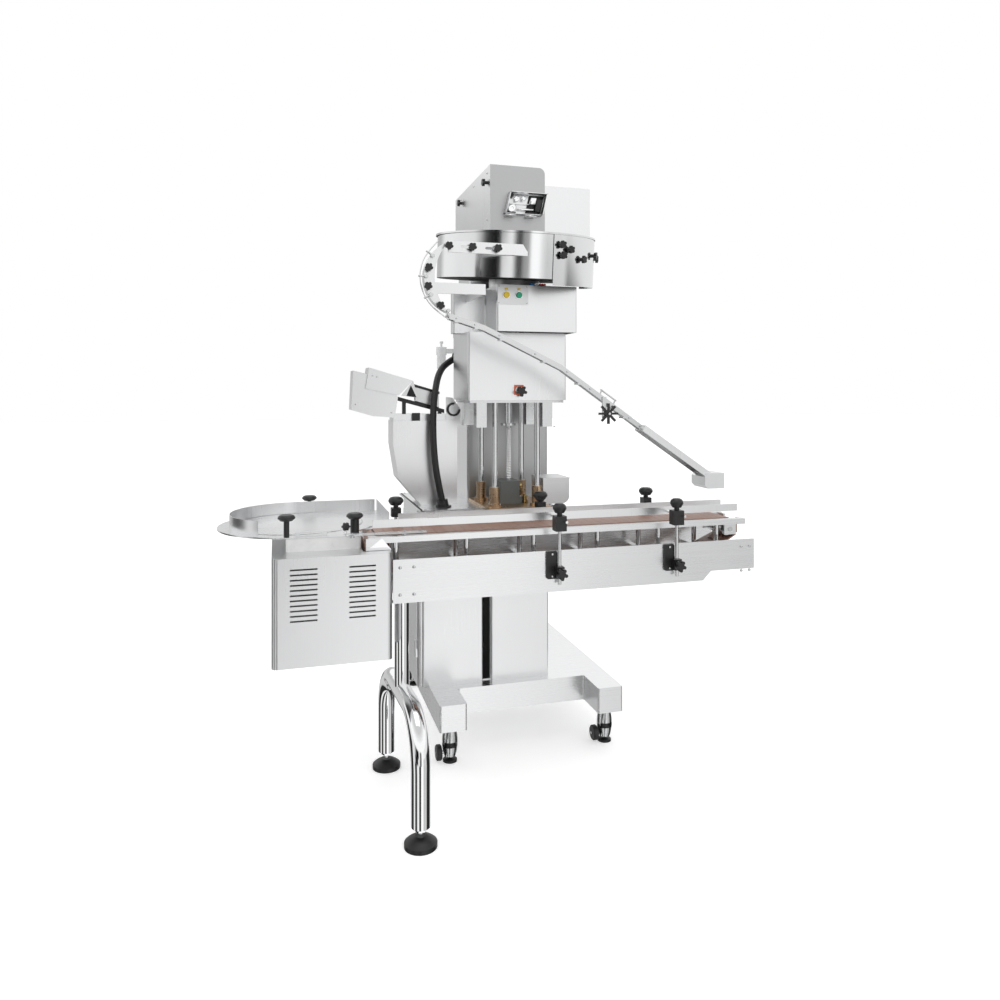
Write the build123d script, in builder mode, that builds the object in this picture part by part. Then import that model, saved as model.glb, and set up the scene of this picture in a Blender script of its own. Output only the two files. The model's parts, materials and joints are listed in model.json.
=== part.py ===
from build123d import *
import os
from math import acos, atan2, cos, hypot, pi, radians, sin, tan

# Rotary capping machine with a turntable, a slat conveyor and a lifting head under a cap bowl.
# Millimetres, +X along the conveyor to the right, +Y to the back, +Z up, floor at Z = 0.

# Overall size
machine_length = 1676
machine_depth = 1282
machine_height = 2031
left_end = -machine_length / 2
right_end = machine_length / 2
front_end = -machine_depth / 2
back_end = machine_depth / 2

# The turntable stands at the left end and the conveyor starts beside it
tray_radius = 242
table_to_idler = 216
table_x = left_end + tray_radius
idler_x = table_x + table_to_idler

# Clearances
running = 0.05
slip = 0.3
working = 1.5

# Sheet and plate
sheet = 3
thin_sheet = 2

# Base frame of folded box sections
frame_bottom = 120
leg_height = 88
leg_width = 92
frame_width = 655
frame_left = -145
frame_front = -190
cross_front = -55
cross_depth = 385
frame_corner = 6
drain_radius = 5
frame_right = frame_left + frame_width
frame_top = frame_bottom + leg_height

# Levelling castors under the four leg ends
castor_front_inset = 56
castor_back_inset = 60
castor_plate = 70
castor_plate_thickness = 6
castor_body = 54
castor_end_radius = 20
castor_body_bottom = 20
castor_pad_radius = 24
castor_pad_height = 12
castor_stud_radius = 6
castor_ring_radius = 20
castor_ring_height = 16
castor_window_bottom = 52
castor_window_height = 18
castor_window_width = 43
castor_wheel_radius = 26
castor_wheel_width = 18
castor_wheel_offset = 39
castor_axle_radius = 5
castor_axle_level = 32

# Base column and its panels
column_left = -185
column_width = 481
column_depth = 330
column_top = 830
column_corner = 12
panel_thickness = 12
panel_top = 625
panel_gap = 32
panel_margin = 16
slot_drop = 20
door_margin_side = 30
door_bottom = 250
door_top = 780
door_thickness = 2
door_flange = 12
hinge_radius = 5
hinge_length = 60
lock_radius = 9
lock_level = 285
column_right = column_left + column_width
column_height = column_top - frame_top

# Deck on the column and the wear plate that carries the posts
deck_thickness = 8
deck_overhang = 3
deck_front = -80
deck_depth = 486
wear_thickness = 10
wear_left = 28
wear_width = 230
wear_front = -160
wear_depth = 290
deck_left = column_left - deck_overhang
deck_top = column_top + deck_thickness
wear_top = deck_top + wear_thickness

# Four guide posts and the lead screw that lifts the head
post_radius = 10
post_pitch_x = 154
post_pitch_y = 185
lift_x = 139
lift_y = -27.5
post_top = 1390
bush_radius = 17.5
bush_flange_radius = 25
bush_flange_thickness = 8
bush_height = 67
screw_radius = 9
screw_top = 1392
gearbox_width = 74
gearbox_depth = 100
gearbox_height = 80
gearbox_shift = -8
gearbox_base_height = 24
gearbox_base_overhang = 10
screw_seat_depth = 40
input_radius = 4
input_length = 40
input_level = 57
sensor_width = 98
sensor_height = 88
sensor_depth = 130
post_points = [
    (lift_x + side * post_pitch_x / 2, lift_y + face * post_pitch_y / 2)
    for side in (-1, 1)
    for face in (-1, 1)
]

# Star knobs
star_radius = 17
star_height = 12
star_hub_radius = 6
star_hub_height = 14
star_lobe_radius = 5.2

# Rear mast
mast_left = 30
mast_width = 320
mast_front = 150
mast_depth = 180
mast_top = 1430
mast_corner = 8

# Capping head that rides on the posts
head_left = -40
head_width = 353
head_front = -150
head_depth = 230
head_bottom = 1215
head_height = 232
head_floor = 20
head_top = head_bottom + head_height
head_bore_top = 1402
head_sleeve_radius = 17
under_plate_thickness = 9
under_plate_inset = 8
block_drop = 84
block_width = 36
block_depth = 40
nut_radius = 13
nut_drop = 92
nut_disc_radius = 28
nut_disc_thickness = 8

# Upper housing on the head
housing_height = 156
housing_front_left = 44
housing_right = 330
housing_front = -210
housing_step = -60
housing_left = -72
housing_shelf_left = -15
housing_shelf_back = 200
housing_ledge_back = -20
housing_back = 430
housing_corner = 6
housing_top = head_top + housing_height
panel_plate_width = 107
panel_plate_height = 64
panel_plate_thickness = 3
button_radius = 10
button_travel = 3
button_height = 9
button_pitch = 44
button_inset = 30

# Cap bowl, tilted towards the conveyor
bowl_x = 153
bowl_y = -50
bowl_level = 1641
bowl_tilt = 6.5
bowl_radius = 275
bowl_wall = 3
bowl_height = 150
bowl_floor = 8
bowl_lip = 6
bowl_disc_clear = 12
bowl_disc_radius = 258
bowl_disc_thickness = 6
bowl_hub_radius = 34
bowl_hub_height = 30
pedestal_radius = 90
guard_gap = 2
guard_drop = 20
guard_start = -80
guard_end = 12
bowl_plane = Plane(
    origin=(bowl_x, bowl_y, bowl_level),
    x_dir=(1, 0, 0),
    z_dir=(0, -sin(radians(bowl_tilt)), cos(radians(bowl_tilt))),
)

# Boxes behind and above the bowl
tower_left = 60
tower_right = 500
tower_front = 240
box_height = 201
box_bottom = machine_height - box_height
box_skirt = 30
box_skirt_depth = 250
top_box_left = 48
top_box_width = 200
top_box_front = -110
side_box_width = 262
side_box_front = 110
box_corner = 22
top_box_right = top_box_left + top_box_width

# Cap chute in front of the head
chute_y = -310
chute_start = (-143, 1490)
chute_bend = (-28, 1455)
chute_knee = (230, 1332)
chute_end = (518, 1132)
rail_gap = 22
rail_thickness = 5
rail_height = 18
trough_end = (764, 966)
trough_width = 62
trough_depth = 22
joint_block = 10
end_box_width = 74
end_box_height = 52
end_box_depth = 90
crescent_reach = 80
crescent_width = 34
crescent_top = (-143, 1714)
bar_level = 1572
bar_height = 34
bar_thickness = 10
bar_right = -17
wheel_hub_radius = 8
wheel_finger_length = 34
wheel_finger_width = 7
wheel_thickness = 8
wheel_pin_radius = 4
wheel_x = 391
wheel_level = 1172
wheel_fingers = 8

# Conveyor
conveyor_y = -357
belt_top = 825
link_pitch = 30
drive_inset = 48
links_along_top = round((right_end - drive_inset - idler_x) / link_pitch)
sloped_links = 6
link_width = 114
link_gap = 1
link_plate = 4
link_drop = 3.5
pin_radius = 2
hook_width = 26
hook_floor = pin_radius + 0.05
hook_wall = 1.2
pin_cheek = 5
rib_width = 56
plate_half = 132
side_plate = 4
side_left = idler_x + 38
side_bottom = 640
side_height = 125
side_notch_x = right_end - 187
side_notch = 29
flange_width = 26
spreader_width = 60
spreader_thickness = 8
bed_outer = 83
bed_inner = 58.5
bed_height = 18
wear_strip_inner = 36
wear_strip_height = 9
nose_drop = 19
support_count = 6
support_inset = 55
support_bar_width = 22
support_bar_height = 18
support_bar_bottom = 700
spacer_radius = 8
spacer_half = 72
roller_radius = 23.5
roller_width = 100
shaft_radius = 8
hinge_level = belt_top - link_plate - link_drop
roller_level = hinge_level - link_pitch
drive_x = idler_x + links_along_top * link_pitch
arm_width = 40
arm_height = 60
arm_level = 690
arm_xs = (0, 230)

# Guide rails beside the belt
rail_post_xs = (157, 549)
front_post_y = -504
post_rod_radius = 5.25
post_rod_bottom = 665
post_rod_top = 866
guide_block = 34
guide_block_height = 45
guide_block_bottom = 827
rear_block_bottom = 844
rear_block = 30
rear_post_shift = 40
mushroom_radius = 20
mushroom_height = 37
mushroom_stem = 9
mushroom_stem_radius = 8
mushroom_cap = 17
cross_rod_radius = 4
guide_half = 48
guide_bar_height = 23
guide_bar_thickness = 6
guide_bar_bottom = 845
front_rail_left = idler_x - 11
rear_rail_left = idler_x + 80
guide_right = right_end - 12
clamp_plate_height = 83
clamp_plate_width = 34
clamp_plate_thickness = 8
clamp_plate_shift = 21
clamp_bottom = 681
rear_post_y = -210
front_rail_y = conveyor_y - guide_half
rear_rail_y = conveyor_y + guide_half
guide_block_top = guide_block_bottom + guide_block_height

# Drive cabinet under the turntable
cabinet_left = table_x - 79
cabinet_width = 333
cabinet_front = -488
cabinet_depth = 450
cabinet_bottom = 482
cabinet_height = 303
cabinet_corner = 16
louvre_width = 74
louvre_height = 4.5
louvre_pitch = 14.2
louvre_count = 11
louvre_bottom = 611
louvre_inset = 49
nose_notch_width = 80
nose_notch_depth = 60
nose_notch_half = 86
cabinet_top = cabinet_bottom + cabinet_height
cabinet_right = cabinet_left + cabinet_width

# Turntable
table_y = -158
tray_thickness = 4
tray_rim = 4
disc_radius = 200
disc_thickness = 4
table_frame_left = table_x - 40
table_frame_width = 214
table_frame_front = -398
table_frame_back = -70
table_frame_wall = 3
apron_left = table_x - 42
apron_right = table_x + 174
fence_radius = 206
fence_thickness = 2
fence_height = 40
fence_start = 90
fence_end = 235
fence_slit = 8
front_bar_length = 91
front_bar_height = 13
front_bar_thickness = 6
front_bar_shift = 31
front_bar_reach = 231
rear_guide_x = table_x + 274
hub_bore = 12
tray_top = belt_top + 2
tray_bottom = tray_top - tray_thickness
table_frame_height = tray_bottom - cabinet_top

# Bent tube stand under the conveyor's left end
stand_x = idler_x + 84
stand_turn = 3.5
stand_tube_radius = 27
stand_bend = 130
stand_arch_level = 340
stand_tube_bottom = 55
stand_post_radius = 23
foot_radius = 46
foot_rim = 12
foot_height = 30
foot_top_radius = 15
stud_radius = 7
nut_across = 30
nut_height = 11
stand_half = (conveyor_y - foot_radius - front_end) / cos(radians(stand_turn))

# Feeder on the deck
stand_front = 50
stand_depth = 130
stand_top = 1140
stand_right = -32
hose_radius = 12
gland_radius = 20

# Air filter beside the mast
filter_x = -54
filter_y = 225
filter_bottom = 1322
filter_radius = 17
filter_height = 62
filter_cap_height = 30

low = (Align.MIN, Align.MIN, Align.MIN)
base = (Align.CENTER, Align.CENTER, Align.MIN)


def star_knob(radius, height, stem):
    """A five-lobed clamping knob standing on its plane, on a stem of the given length."""
    with BuildPart(mode=Mode.PRIVATE) as knob:
        with BuildSketch(Plane.XY.offset(stem)):
            Circle(radius * 0.62)
            with PolarLocations(radius - star_lobe_radius, 5):
                Circle(star_lobe_radius)
        extrude(amount=height)
        with BuildSketch(Plane.XY):
            Circle(star_hub_radius)
        extrude(amount=stem)
    return knob.part


def mushroom_knob(radius, height, stem, stem_radius):
    """A rounded clamping knob whose top is at the given height, on a round stem."""
    with BuildPart(mode=Mode.PRIVATE) as knob:
        with BuildSketch(Plane.XZ):
            with BuildLine():
                Polyline(
                    (0, height),
                    (0, 0),
                    (stem_radius, 0),
                    (stem_radius, stem),
                    (radius * 0.7, stem),
                    (radius, stem + (height - stem) * 0.4),
                )
                ThreePointArc(
                    (radius, stem + (height - stem) * 0.4),
                    (radius * 0.88, stem + (height - stem) * 0.82),
                    (radius * 0.5, height),
                )
                Line((radius * 0.5, height), (0, height))
            make_face()
        revolve(axis=Axis.Z)
    return knob.part


def arc_wall(radius, thickness, start, end):
    """The outline of a thin wall bent round the sketch's origin, its outside at the radius."""
    CenterArc((0, 0), radius, start, end - start)
    CenterArc((0, 0), radius - thickness, start, end - start)
    for angle in (start, end):
        Line(
            (radius * cos(radians(angle)), radius * sin(radians(angle))),
            ((radius - thickness) * cos(radians(angle)), (radius - thickness) * sin(radians(angle))),
        )


def facing(origin, direction):
    """A plane at a point, looking along a direction."""
    return Plane(origin=origin, z_dir=direction)


os.makedirs("parts", exist_ok=True)

# Base frame: two long legs and a wide cross box, folded from sheet
with BuildPart() as base_frame:
    for inset, opening in ((0, Mode.ADD), (sheet, Mode.SUBTRACT)):
        with BuildSketch(Plane.XY.offset(frame_bottom + inset)) as plan:
            with Locations(
                (frame_left + leg_width / 2, (frame_front + back_end) / 2),
                (frame_right - leg_width / 2, (frame_front + back_end) / 2),
            ):
                Rectangle(leg_width - 2 * inset, back_end - frame_front - 2 * inset)
            with Locations(((frame_left + frame_right) / 2, cross_front + cross_depth / 2)):
                Rectangle(frame_width - 2 * inset, cross_depth - 2 * inset)
            if inset == 0:
                fillet(plan.vertices(), frame_corner)
        extrude(amount=leg_height - 2 * inset, mode=opening)
    with BuildSketch(Plane.XY.offset(frame_bottom)):
        with Locations(
            (frame_left + leg_width / 2, cross_front),
            (frame_right - leg_width / 2, cross_front),
        ):
            Circle(drain_radius)
    extrude(amount=sheet, mode=Mode.SUBTRACT)
base_frame.part.label = "base_frame"

# Levelling castors: a housing with a window, a foot on a stud and a wheel beside it
castor_points = {
    "front_left": (frame_left + leg_width / 2, frame_front + castor_front_inset),
    "front_right": (frame_right - leg_width / 2, frame_front + castor_front_inset),
    "rear_left": (frame_left + leg_width / 2, back_end - castor_back_inset),
    "rear_right": (frame_right - leg_width / 2, back_end - castor_back_inset),
}
with BuildPart() as castor_housings:
    barrel_top = frame_bottom - castor_plate_thickness
    for x, y in castor_points.values():
        with BuildSketch(Plane.XZ.offset(-y)):
            with BuildLine():
                ThreePointArc(
                    (x + castor_end_radius, castor_body_bottom),
                    (x + castor_body / 2, (castor_body_bottom + barrel_top) / 2),
                    (x + castor_end_radius, barrel_top),
                )
                Polyline(
                    (x + castor_end_radius, barrel_top),
                    (x, barrel_top),
                    (x, castor_body_bottom),
                    (x + castor_end_radius, castor_body_bottom),
                )
            make_face()
        revolve(axis=Axis((x, y, 0), (0, 0, 1)))
    with Locations([(x, y, barrel_top) for x, y in castor_points.values()]):
        Box(castor_plate, castor_plate, castor_plate_thickness, align=base)
    with Locations([(x, y, castor_window_bottom) for x, y in castor_points.values()]):
        Box(castor_window_width, 2 * castor_body, castor_window_height, align=base, mode=Mode.SUBTRACT)
    with Locations([(x, y, castor_body_bottom) for x, y in castor_points.values()]):
        Cylinder(castor_stud_radius + slip, castor_window_bottom, align=base, mode=Mode.SUBTRACT)
    for x, y in castor_points.values():
        with BuildSketch(Plane.YZ.offset(x - castor_end_radius)):
            with Locations((y, castor_axle_level)):
                Circle(castor_axle_radius)
        extrude(amount=-(castor_wheel_offset - castor_end_radius + castor_wheel_width / 2 + 3))
castor_housings.part.label = "castor_housings"

with BuildPart() as castor_feet:
    for x, y in castor_points.values():
        with BuildSketch(Plane.XZ.offset(-y)):
            with BuildLine():
                Polyline(
                    (x, 0),
                    (x + castor_pad_radius, 0),
                    (x + castor_pad_radius, castor_pad_height * 0.6),
                    (x + castor_pad_radius * 0.6, castor_pad_height),
                    (x + castor_stud_radius, castor_pad_height),
                    (x + castor_stud_radius, castor_window_bottom),
                    (x + castor_ring_radius, castor_window_bottom),
                    (x + castor_ring_radius, castor_window_bottom + castor_ring_height),
                    (x, castor_window_bottom + castor_ring_height),
                    (x, 0),
                )
            make_face()
        revolve(axis=Axis((x, y, 0), (0, 0, 1)))
castor_feet.part.label = "castor_feet"

castor_wheels = []
for corner, (x, y) in castor_points.items():
    with BuildPart() as castor_wheel:
        with BuildSketch(Plane.YZ.offset(x - castor_wheel_offset - castor_wheel_width / 2)):
            with Locations((y, castor_axle_level)):
                Circle(castor_wheel_radius)
                Circle(castor_axle_radius + running, mode=Mode.SUBTRACT)
        extrude(amount=castor_wheel_width)
        chamfer(
            castor_wheel.edges().filter_by(GeomType.CIRCLE).filter_by(
                lambda edge: edge.radius > castor_wheel_radius - 1
            ),
            3,
        )
    castor_wheel.part.label = "castor_wheel_" + corner
    castor_wheels.append(castor_wheel.part)

# Base column: a sheet cabinet with a service door on its left side
column_mid_x = column_left + column_width / 2
column_mid_y = column_depth / 2
panel_width = (column_width - panel_gap - panel_margin) / 2
panel_mid_x = column_left + panel_margin + panel_width + panel_gap / 2
with BuildPart() as base_column:
    with BuildSketch(Plane.XY.offset(frame_top)) as footprint:
        with Locations((column_mid_x, column_mid_y)):
            Rectangle(column_width, column_depth)
        fillet(footprint.vertices(), column_corner)
    extrude(amount=column_height)
    with BuildSketch(Plane.XY.offset(frame_top + sheet)):
        with Locations((column_mid_x, column_mid_y)):
            Rectangle(column_width - 2 * sheet, column_depth - 2 * sheet)
    extrude(amount=column_height - 2 * sheet, mode=Mode.SUBTRACT)
    with BuildSketch(Plane.YZ.offset(column_left)):
        with Locations((column_mid_y, (door_bottom + door_top) / 2)):
            Rectangle(column_depth - 2 * door_margin_side, door_top - door_bottom)
    extrude(amount=sheet, mode=Mode.SUBTRACT)
    with BuildSketch(Plane.XZ):
        with Locations((panel_mid_x, (frame_top + panel_top - slot_drop) / 2)):
            Rectangle(panel_gap - 4, panel_top - frame_top - slot_drop)
    extrude(amount=-sheet, mode=Mode.SUBTRACT)
base_column.part.label = "base_column"

with BuildPart() as column_panels:
    with BuildSketch(Plane.XZ):
        with Locations(
            (panel_mid_x - (panel_gap + panel_width) / 2, (frame_top + panel_top) / 2),
            (panel_mid_x + (panel_gap + panel_width) / 2, (frame_top + panel_top) / 2),
        ):
            Rectangle(panel_width, panel_top - frame_top)
    extrude(amount=panel_thickness)
    fillet(column_panels.edges().filter_by(Axis.Z).group_by(Axis.Y)[0], 5)
column_panels.part.label = "column_panels"

# Service door: hung on a vertical pin at its front edge, outside the column's left side
door_front = door_margin_side - door_flange
door_back = column_depth - door_margin_side + door_flange
hinge_x = column_left - hinge_radius - slip
hinge_y = door_front - hinge_radius
hinge_levels = (door_bottom + 60, door_top - 60 - hinge_length)
with base_column:
    for level in hinge_levels:
        with BuildSketch(Plane.XY.offset(level)):
            with Locations((hinge_x, hinge_y)):
                Circle(hinge_radius)
            with Locations((hinge_x + hinge_radius / 2 + slip / 2, hinge_y - hinge_radius / 2)):
                Rectangle(hinge_radius + slip, hinge_radius)
        extrude(amount=hinge_length / 2)
        with BuildSketch(Plane.XY.offset(level + hinge_length / 2)):
            with Locations((hinge_x, hinge_y)):
                Circle(hinge_radius / 2)
        extrude(amount=hinge_length / 2)
with BuildPart() as side_door:
    with BuildSketch(Plane.YZ.offset(column_left - slip)):
        with Locations(((door_front + door_back) / 2, (door_bottom + door_top) / 2)):
            Rectangle(door_back - door_front, door_top - door_bottom + 2 * door_flange)
    extrude(amount=-door_thickness)
    for level in hinge_levels:
        with BuildSketch(Plane.XY.offset(level + hinge_length / 2 + slip)):
            with Locations((hinge_x, hinge_y)):
                Circle(hinge_radius)
            with Locations((column_left - slip - door_thickness / 2, (hinge_y + door_front) / 2)):
                Rectangle(door_thickness, door_front - hinge_y)
            with Locations((hinge_x, hinge_y)):
                Circle(hinge_radius / 2 + running, mode=Mode.SUBTRACT)
        extrude(amount=hinge_length / 2 - 2 * slip)
    with BuildSketch(Plane.YZ.offset(column_left - slip)):
        with Locations((door_back - 25, lock_level)):
            Circle(lock_radius + running)
    extrude(amount=-door_thickness, mode=Mode.SUBTRACT)
side_door.part.label = "side_door"

with BuildPart() as door_lock:
    with BuildSketch(Plane.YZ.offset(column_left + 6)):
        with Locations((door_back - 25, lock_level)):
            Circle(lock_radius)
    extrude(amount=-(6 + slip + door_thickness))
    with BuildSketch(Plane.YZ.offset(column_left - slip - door_thickness)):
        with Locations((door_back - 25, lock_level)):
            Circle(lock_radius + 3)
    extrude(amount=-3)
    with BuildSketch(Plane.YZ.offset(column_left + sheet + slip)):
        with Locations((door_back - 25, lock_level + 12)):
            Rectangle(12, 42)
    extrude(amount=3 - slip)
door_lock.part.label = "door_lock"

# Deck and wear plate
with BuildPart() as deck_plate:
    with BuildSketch(Plane.XY.offset(column_top)) as deck_plan:
        with Locations(((deck_left + column_right) / 2, deck_front + deck_depth / 2)):
            Rectangle(column_right - deck_left, deck_depth)
        chamfer(deck_plan.vertices().group_by(Axis.Y)[0], 12)
    extrude(amount=deck_thickness)
deck_plate.part.label = "deck_plate"

with BuildPart() as wear_plate:
    with BuildSketch(Plane.XY.offset(deck_top)) as wear_plan:
        with Locations((wear_left + wear_width / 2, wear_front + wear_depth / 2)):
            Rectangle(wear_width, wear_depth)
        chamfer(wear_plan.vertices(), 6)
    extrude(amount=wear_thickness)
wear_plate.part.label = "wear_plate"

# Guide posts in flanged bushes
with BuildPart() as guide_posts:
    with BuildSketch(Plane.XY.offset(wear_top)):
        with Locations(post_points):
            Circle(post_radius)
    extrude(amount=post_top - wear_top)
    chamfer(guide_posts.edges().filter_by(GeomType.CIRCLE).group_by(Axis.Z)[-1], 2)
guide_posts.part.label = "guide_posts"

with BuildPart() as post_bushes:
    with BuildSketch(Plane.XY.offset(wear_top)):
        with Locations(post_points):
            Circle(bush_flange_radius)
    extrude(amount=bush_flange_thickness)
    with BuildSketch(Plane.XY.offset(wear_top)):
        with Locations(post_points):
            Circle(bush_radius)
    extrude(amount=bush_height)
    with BuildSketch(Plane.XY.offset(wear_top)):
        with Locations(post_points):
            Circle(post_radius + running)
    extrude(amount=bush_height, mode=Mode.SUBTRACT)
post_bushes.part.label = "post_bushes"

# Lift gearbox with the lead screw standing in it
gearbox_x = lift_x + gearbox_shift
gearbox_y = lift_y + 4
gearbox_top = wear_top + gearbox_height
with BuildPart() as lift_gearbox:
    with BuildSketch(Plane.XY.offset(wear_top)):
        with Locations((gearbox_x, gearbox_y)):
            RectangleRounded(gearbox_width + 2 * gearbox_base_overhang, gearbox_depth, 6)
    extrude(amount=gearbox_base_height)
    with BuildSketch(Plane.XY.offset(wear_top)):
        with Locations((gearbox_x, gearbox_y)):
            RectangleRounded(gearbox_width, gearbox_depth, 5)
    extrude(amount=gearbox_height)
    with BuildSketch(Plane.XY.offset(gearbox_top - screw_seat_depth)):
        with Locations((lift_x, lift_y)):
            Circle(screw_radius + running)
    extrude(amount=screw_seat_depth, mode=Mode.SUBTRACT)
    with BuildSketch(Plane.YZ.offset(gearbox_x + gearbox_width / 2)):
        with Locations((gearbox_y, wear_top + input_level)):
            Circle(input_radius + running)
    extrude(amount=-input_length / 2, mode=Mode.SUBTRACT)
lift_gearbox.part.label = "lift_gearbox"

with BuildPart() as gearbox_shaft:
    with BuildSketch(Plane.YZ.offset(gearbox_x + gearbox_width / 2 - input_length / 2)):
        with Locations((gearbox_y, wear_top + input_level)):
            Circle(input_radius)
    extrude(amount=input_length)
    with BuildSketch(Plane.YZ.offset(gearbox_x + gearbox_width / 2 + slip)):
        with Locations((gearbox_y, wear_top + input_level)):
            Circle(input_radius * 2)
    extrude(amount=6)
gearbox_shaft.part.label = "gearbox_shaft"

with BuildPart() as lead_screw:
    with BuildSketch(Plane.XY.offset(gearbox_top - screw_seat_depth)):
        with Locations((lift_x, lift_y)):
            Circle(screw_radius)
    extrude(amount=screw_top - gearbox_top + screw_seat_depth)
    chamfer(lead_screw.edges().filter_by(GeomType.CIRCLE).group_by(Axis.Z)[-1], 2)
lead_screw.part.label = "lead_screw"

# Rear mast: a folded column open at its foot
with BuildPart() as mast:
    with BuildSketch(Plane.XY.offset(deck_top)) as mast_plan:
        with Locations((mast_left + mast_width / 2, mast_front + mast_depth / 2)):
            Rectangle(mast_width, mast_depth)
        fillet(mast_plan.vertices(), mast_corner)
    extrude(amount=mast_top - deck_top)
    with BuildSketch(Plane.XY.offset(deck_top)):
        with Locations((mast_left + mast_width / 2, mast_front + mast_depth / 2)):
            Rectangle(mast_width - 2 * sheet, mast_depth - 2 * sheet)
    extrude(amount=mast_top - deck_top - sheet, mode=Mode.SUBTRACT)
mast.part.label = "mast"

# Sensor housing beside the posts
sensor_left = lift_x + post_pitch_x / 2 + bush_flange_radius + 1
with BuildPart() as sensor_housing:
    with BuildSketch(Plane.XZ.offset(-(wear_front + 50))) as sensor_side:
        with BuildLine():
            Polyline(
                (sensor_left, wear_top),
                (sensor_left + sensor_width, wear_top),
                (sensor_left + sensor_width, wear_top + sensor_height),
                (sensor_left, wear_top + sensor_height),
                close=True,
            )
        make_face()
        fillet(sensor_side.vertices().sort_by(Axis.X)[-2:].sort_by(Axis.Y)[0], 26)
    extrude(amount=-sensor_depth)
    with BuildSketch(Plane.XY.offset(wear_top + sensor_height)):
        with Locations((sensor_left + sensor_width / 2, wear_front + 50 + sensor_depth / 2)):
            Rectangle(sensor_width + 4, sensor_depth + 4)
    extrude(amount=3)
sensor_housing.part.label = "sensor_housing"

# Head box with blind bores for the posts and the screw
head_mid_x = head_left + head_width / 2
head_mid_y = head_front + head_depth / 2
with BuildPart() as head_box:
    with BuildSketch(Plane.XY.offset(head_bottom)) as head_plan:
        with Locations((head_mid_x, head_mid_y)):
            Rectangle(head_width, head_depth)
        fillet(head_plan.vertices(), housing_corner)
    extrude(amount=head_height)
    with BuildSketch(Plane.XY.offset(head_bottom + head_floor)):
        with Locations((head_mid_x, head_mid_y)):
            Rectangle(head_width - 2 * sheet, head_depth - 2 * sheet)
        with Locations(post_points):
            Circle(head_sleeve_radius, mode=Mode.SUBTRACT)
        with Locations((lift_x, lift_y)):
            Circle(head_sleeve_radius, mode=Mode.SUBTRACT)
    extrude(amount=head_height - head_floor - sheet, mode=Mode.SUBTRACT)
    with BuildSketch(Plane.XY.offset(head_bottom)):
        with Locations(post_points):
            Circle(post_radius + running)
        with Locations((lift_x, lift_y)):
            Circle(screw_radius + working)
    extrude(amount=head_bore_top - head_bottom, mode=Mode.SUBTRACT)
head_box.part.label = "head_box"

with BuildPart() as head_plate:
    with BuildSketch(Plane.XY.offset(head_bottom - under_plate_thickness)):
        with Locations((head_mid_x, head_mid_y)):
            Rectangle(head_width - 2 * under_plate_inset, head_depth - 2 * under_plate_inset)
    extrude(amount=under_plate_thickness)
    block_top = head_bottom - under_plate_thickness
    with BuildSketch(Plane.XY.offset(block_top - block_drop)):
        with Locations(
            (head_left + under_plate_inset + 24 + block_width / 2, lift_y - post_pitch_y / 2),
            (head_left + under_plate_inset + 24 + block_width / 2, lift_y + post_pitch_y / 2),
            (lift_x + post_pitch_x / 2 + post_radius + 3 + block_width / 2, lift_y - post_pitch_y / 2),
            (lift_x + post_pitch_x / 2 + post_radius + 3 + block_width / 2, lift_y + post_pitch_y / 2),
        ):
            Rectangle(block_width, block_depth)
    extrude(amount=block_drop)
    with BuildSketch(Plane.XY.offset(block_top)):
        with Locations(post_points):
            Circle(post_radius + running)
        with Locations((lift_x, lift_y)):
            Circle(nut_radius + running)
    extrude(amount=under_plate_thickness, mode=Mode.SUBTRACT)
head_plate.part.label = "head_plate"

with BuildPart() as lift_nut:
    with BuildSketch(Plane.XY.offset(head_bottom - nut_drop)):
        with Locations((lift_x, lift_y)):
            Circle(nut_disc_radius)
    extrude(amount=nut_disc_thickness)
    with BuildSketch(Plane.XY.offset(head_bottom - nut_drop)):
        with Locations((lift_x, lift_y)):
            Circle(nut_radius)
    extrude(amount=nut_drop)
    with BuildSketch(Plane.XY.offset(head_bottom - nut_drop)):
        with Locations((lift_x, lift_y)):
            Circle(screw_radius + running)
    extrude(amount=nut_drop, mode=Mode.SUBTRACT)
lift_nut.part.label = "lift_nut"

# Star knob on the front of the head
knob_x = lift_x + 4
knob_level = head_bottom + 31
with BuildPart() as head_knob:
    with Locations(facing((knob_x, head_front, knob_level), (0, -1, 0))):
        add(star_knob(star_radius + 2, star_height, star_hub_height))
head_knob.part.label = "head_knob"

# Upper housing, stepped back on its left, and the rear tower that carries the top boxes
with BuildPart() as upper_housing:
    for base_level, rise, inset, opening in (
        (head_top, housing_height, 0, Mode.ADD),
        (head_top, housing_height - sheet, sheet, Mode.SUBTRACT),
    ):
        with BuildSketch(Plane.XY.offset(base_level)) as housing_plan:
            with BuildLine():
                Polyline(
                    (housing_front_left, housing_front),
                    (housing_right, housing_front),
                    (housing_right, housing_back),
                    (housing_front_left, housing_back),
                    (housing_front_left, housing_shelf_back),
                    (housing_shelf_left, housing_shelf_back),
                    (housing_shelf_left, housing_ledge_back),
                    (housing_left, housing_ledge_back),
                    (housing_left, housing_step),
                    (housing_front_left, housing_step),
                    close=True,
                )
            make_face()
            if inset:
                offset(amount=-inset, mode=Mode.REPLACE)
            else:
                fillet(housing_plan.vertices(), housing_corner)
        extrude(amount=rise, mode=opening)
upper_housing.part.label = "upper_housing"

with BuildPart() as control_panel:
    panel_left = housing_front_left + 2
    panel_mid = housing_top - panel_plate_height / 2 - 3
    with BuildSketch(Plane.XZ.offset(-housing_front)):
        with Locations((panel_left + panel_plate_width / 2, panel_mid)):
            Rectangle(panel_plate_width, panel_plate_height)
    extrude(amount=panel_plate_thickness)
    with BuildSketch(Plane.XZ.offset(-housing_front)):
        with Locations(
            (panel_left + button_inset, panel_mid), (panel_left + button_inset + button_pitch, panel_mid)
        ):
            Circle(button_radius + slip)
    extrude(amount=panel_plate_thickness, mode=Mode.SUBTRACT)
control_panel.part.label = "control_panel"

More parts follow.
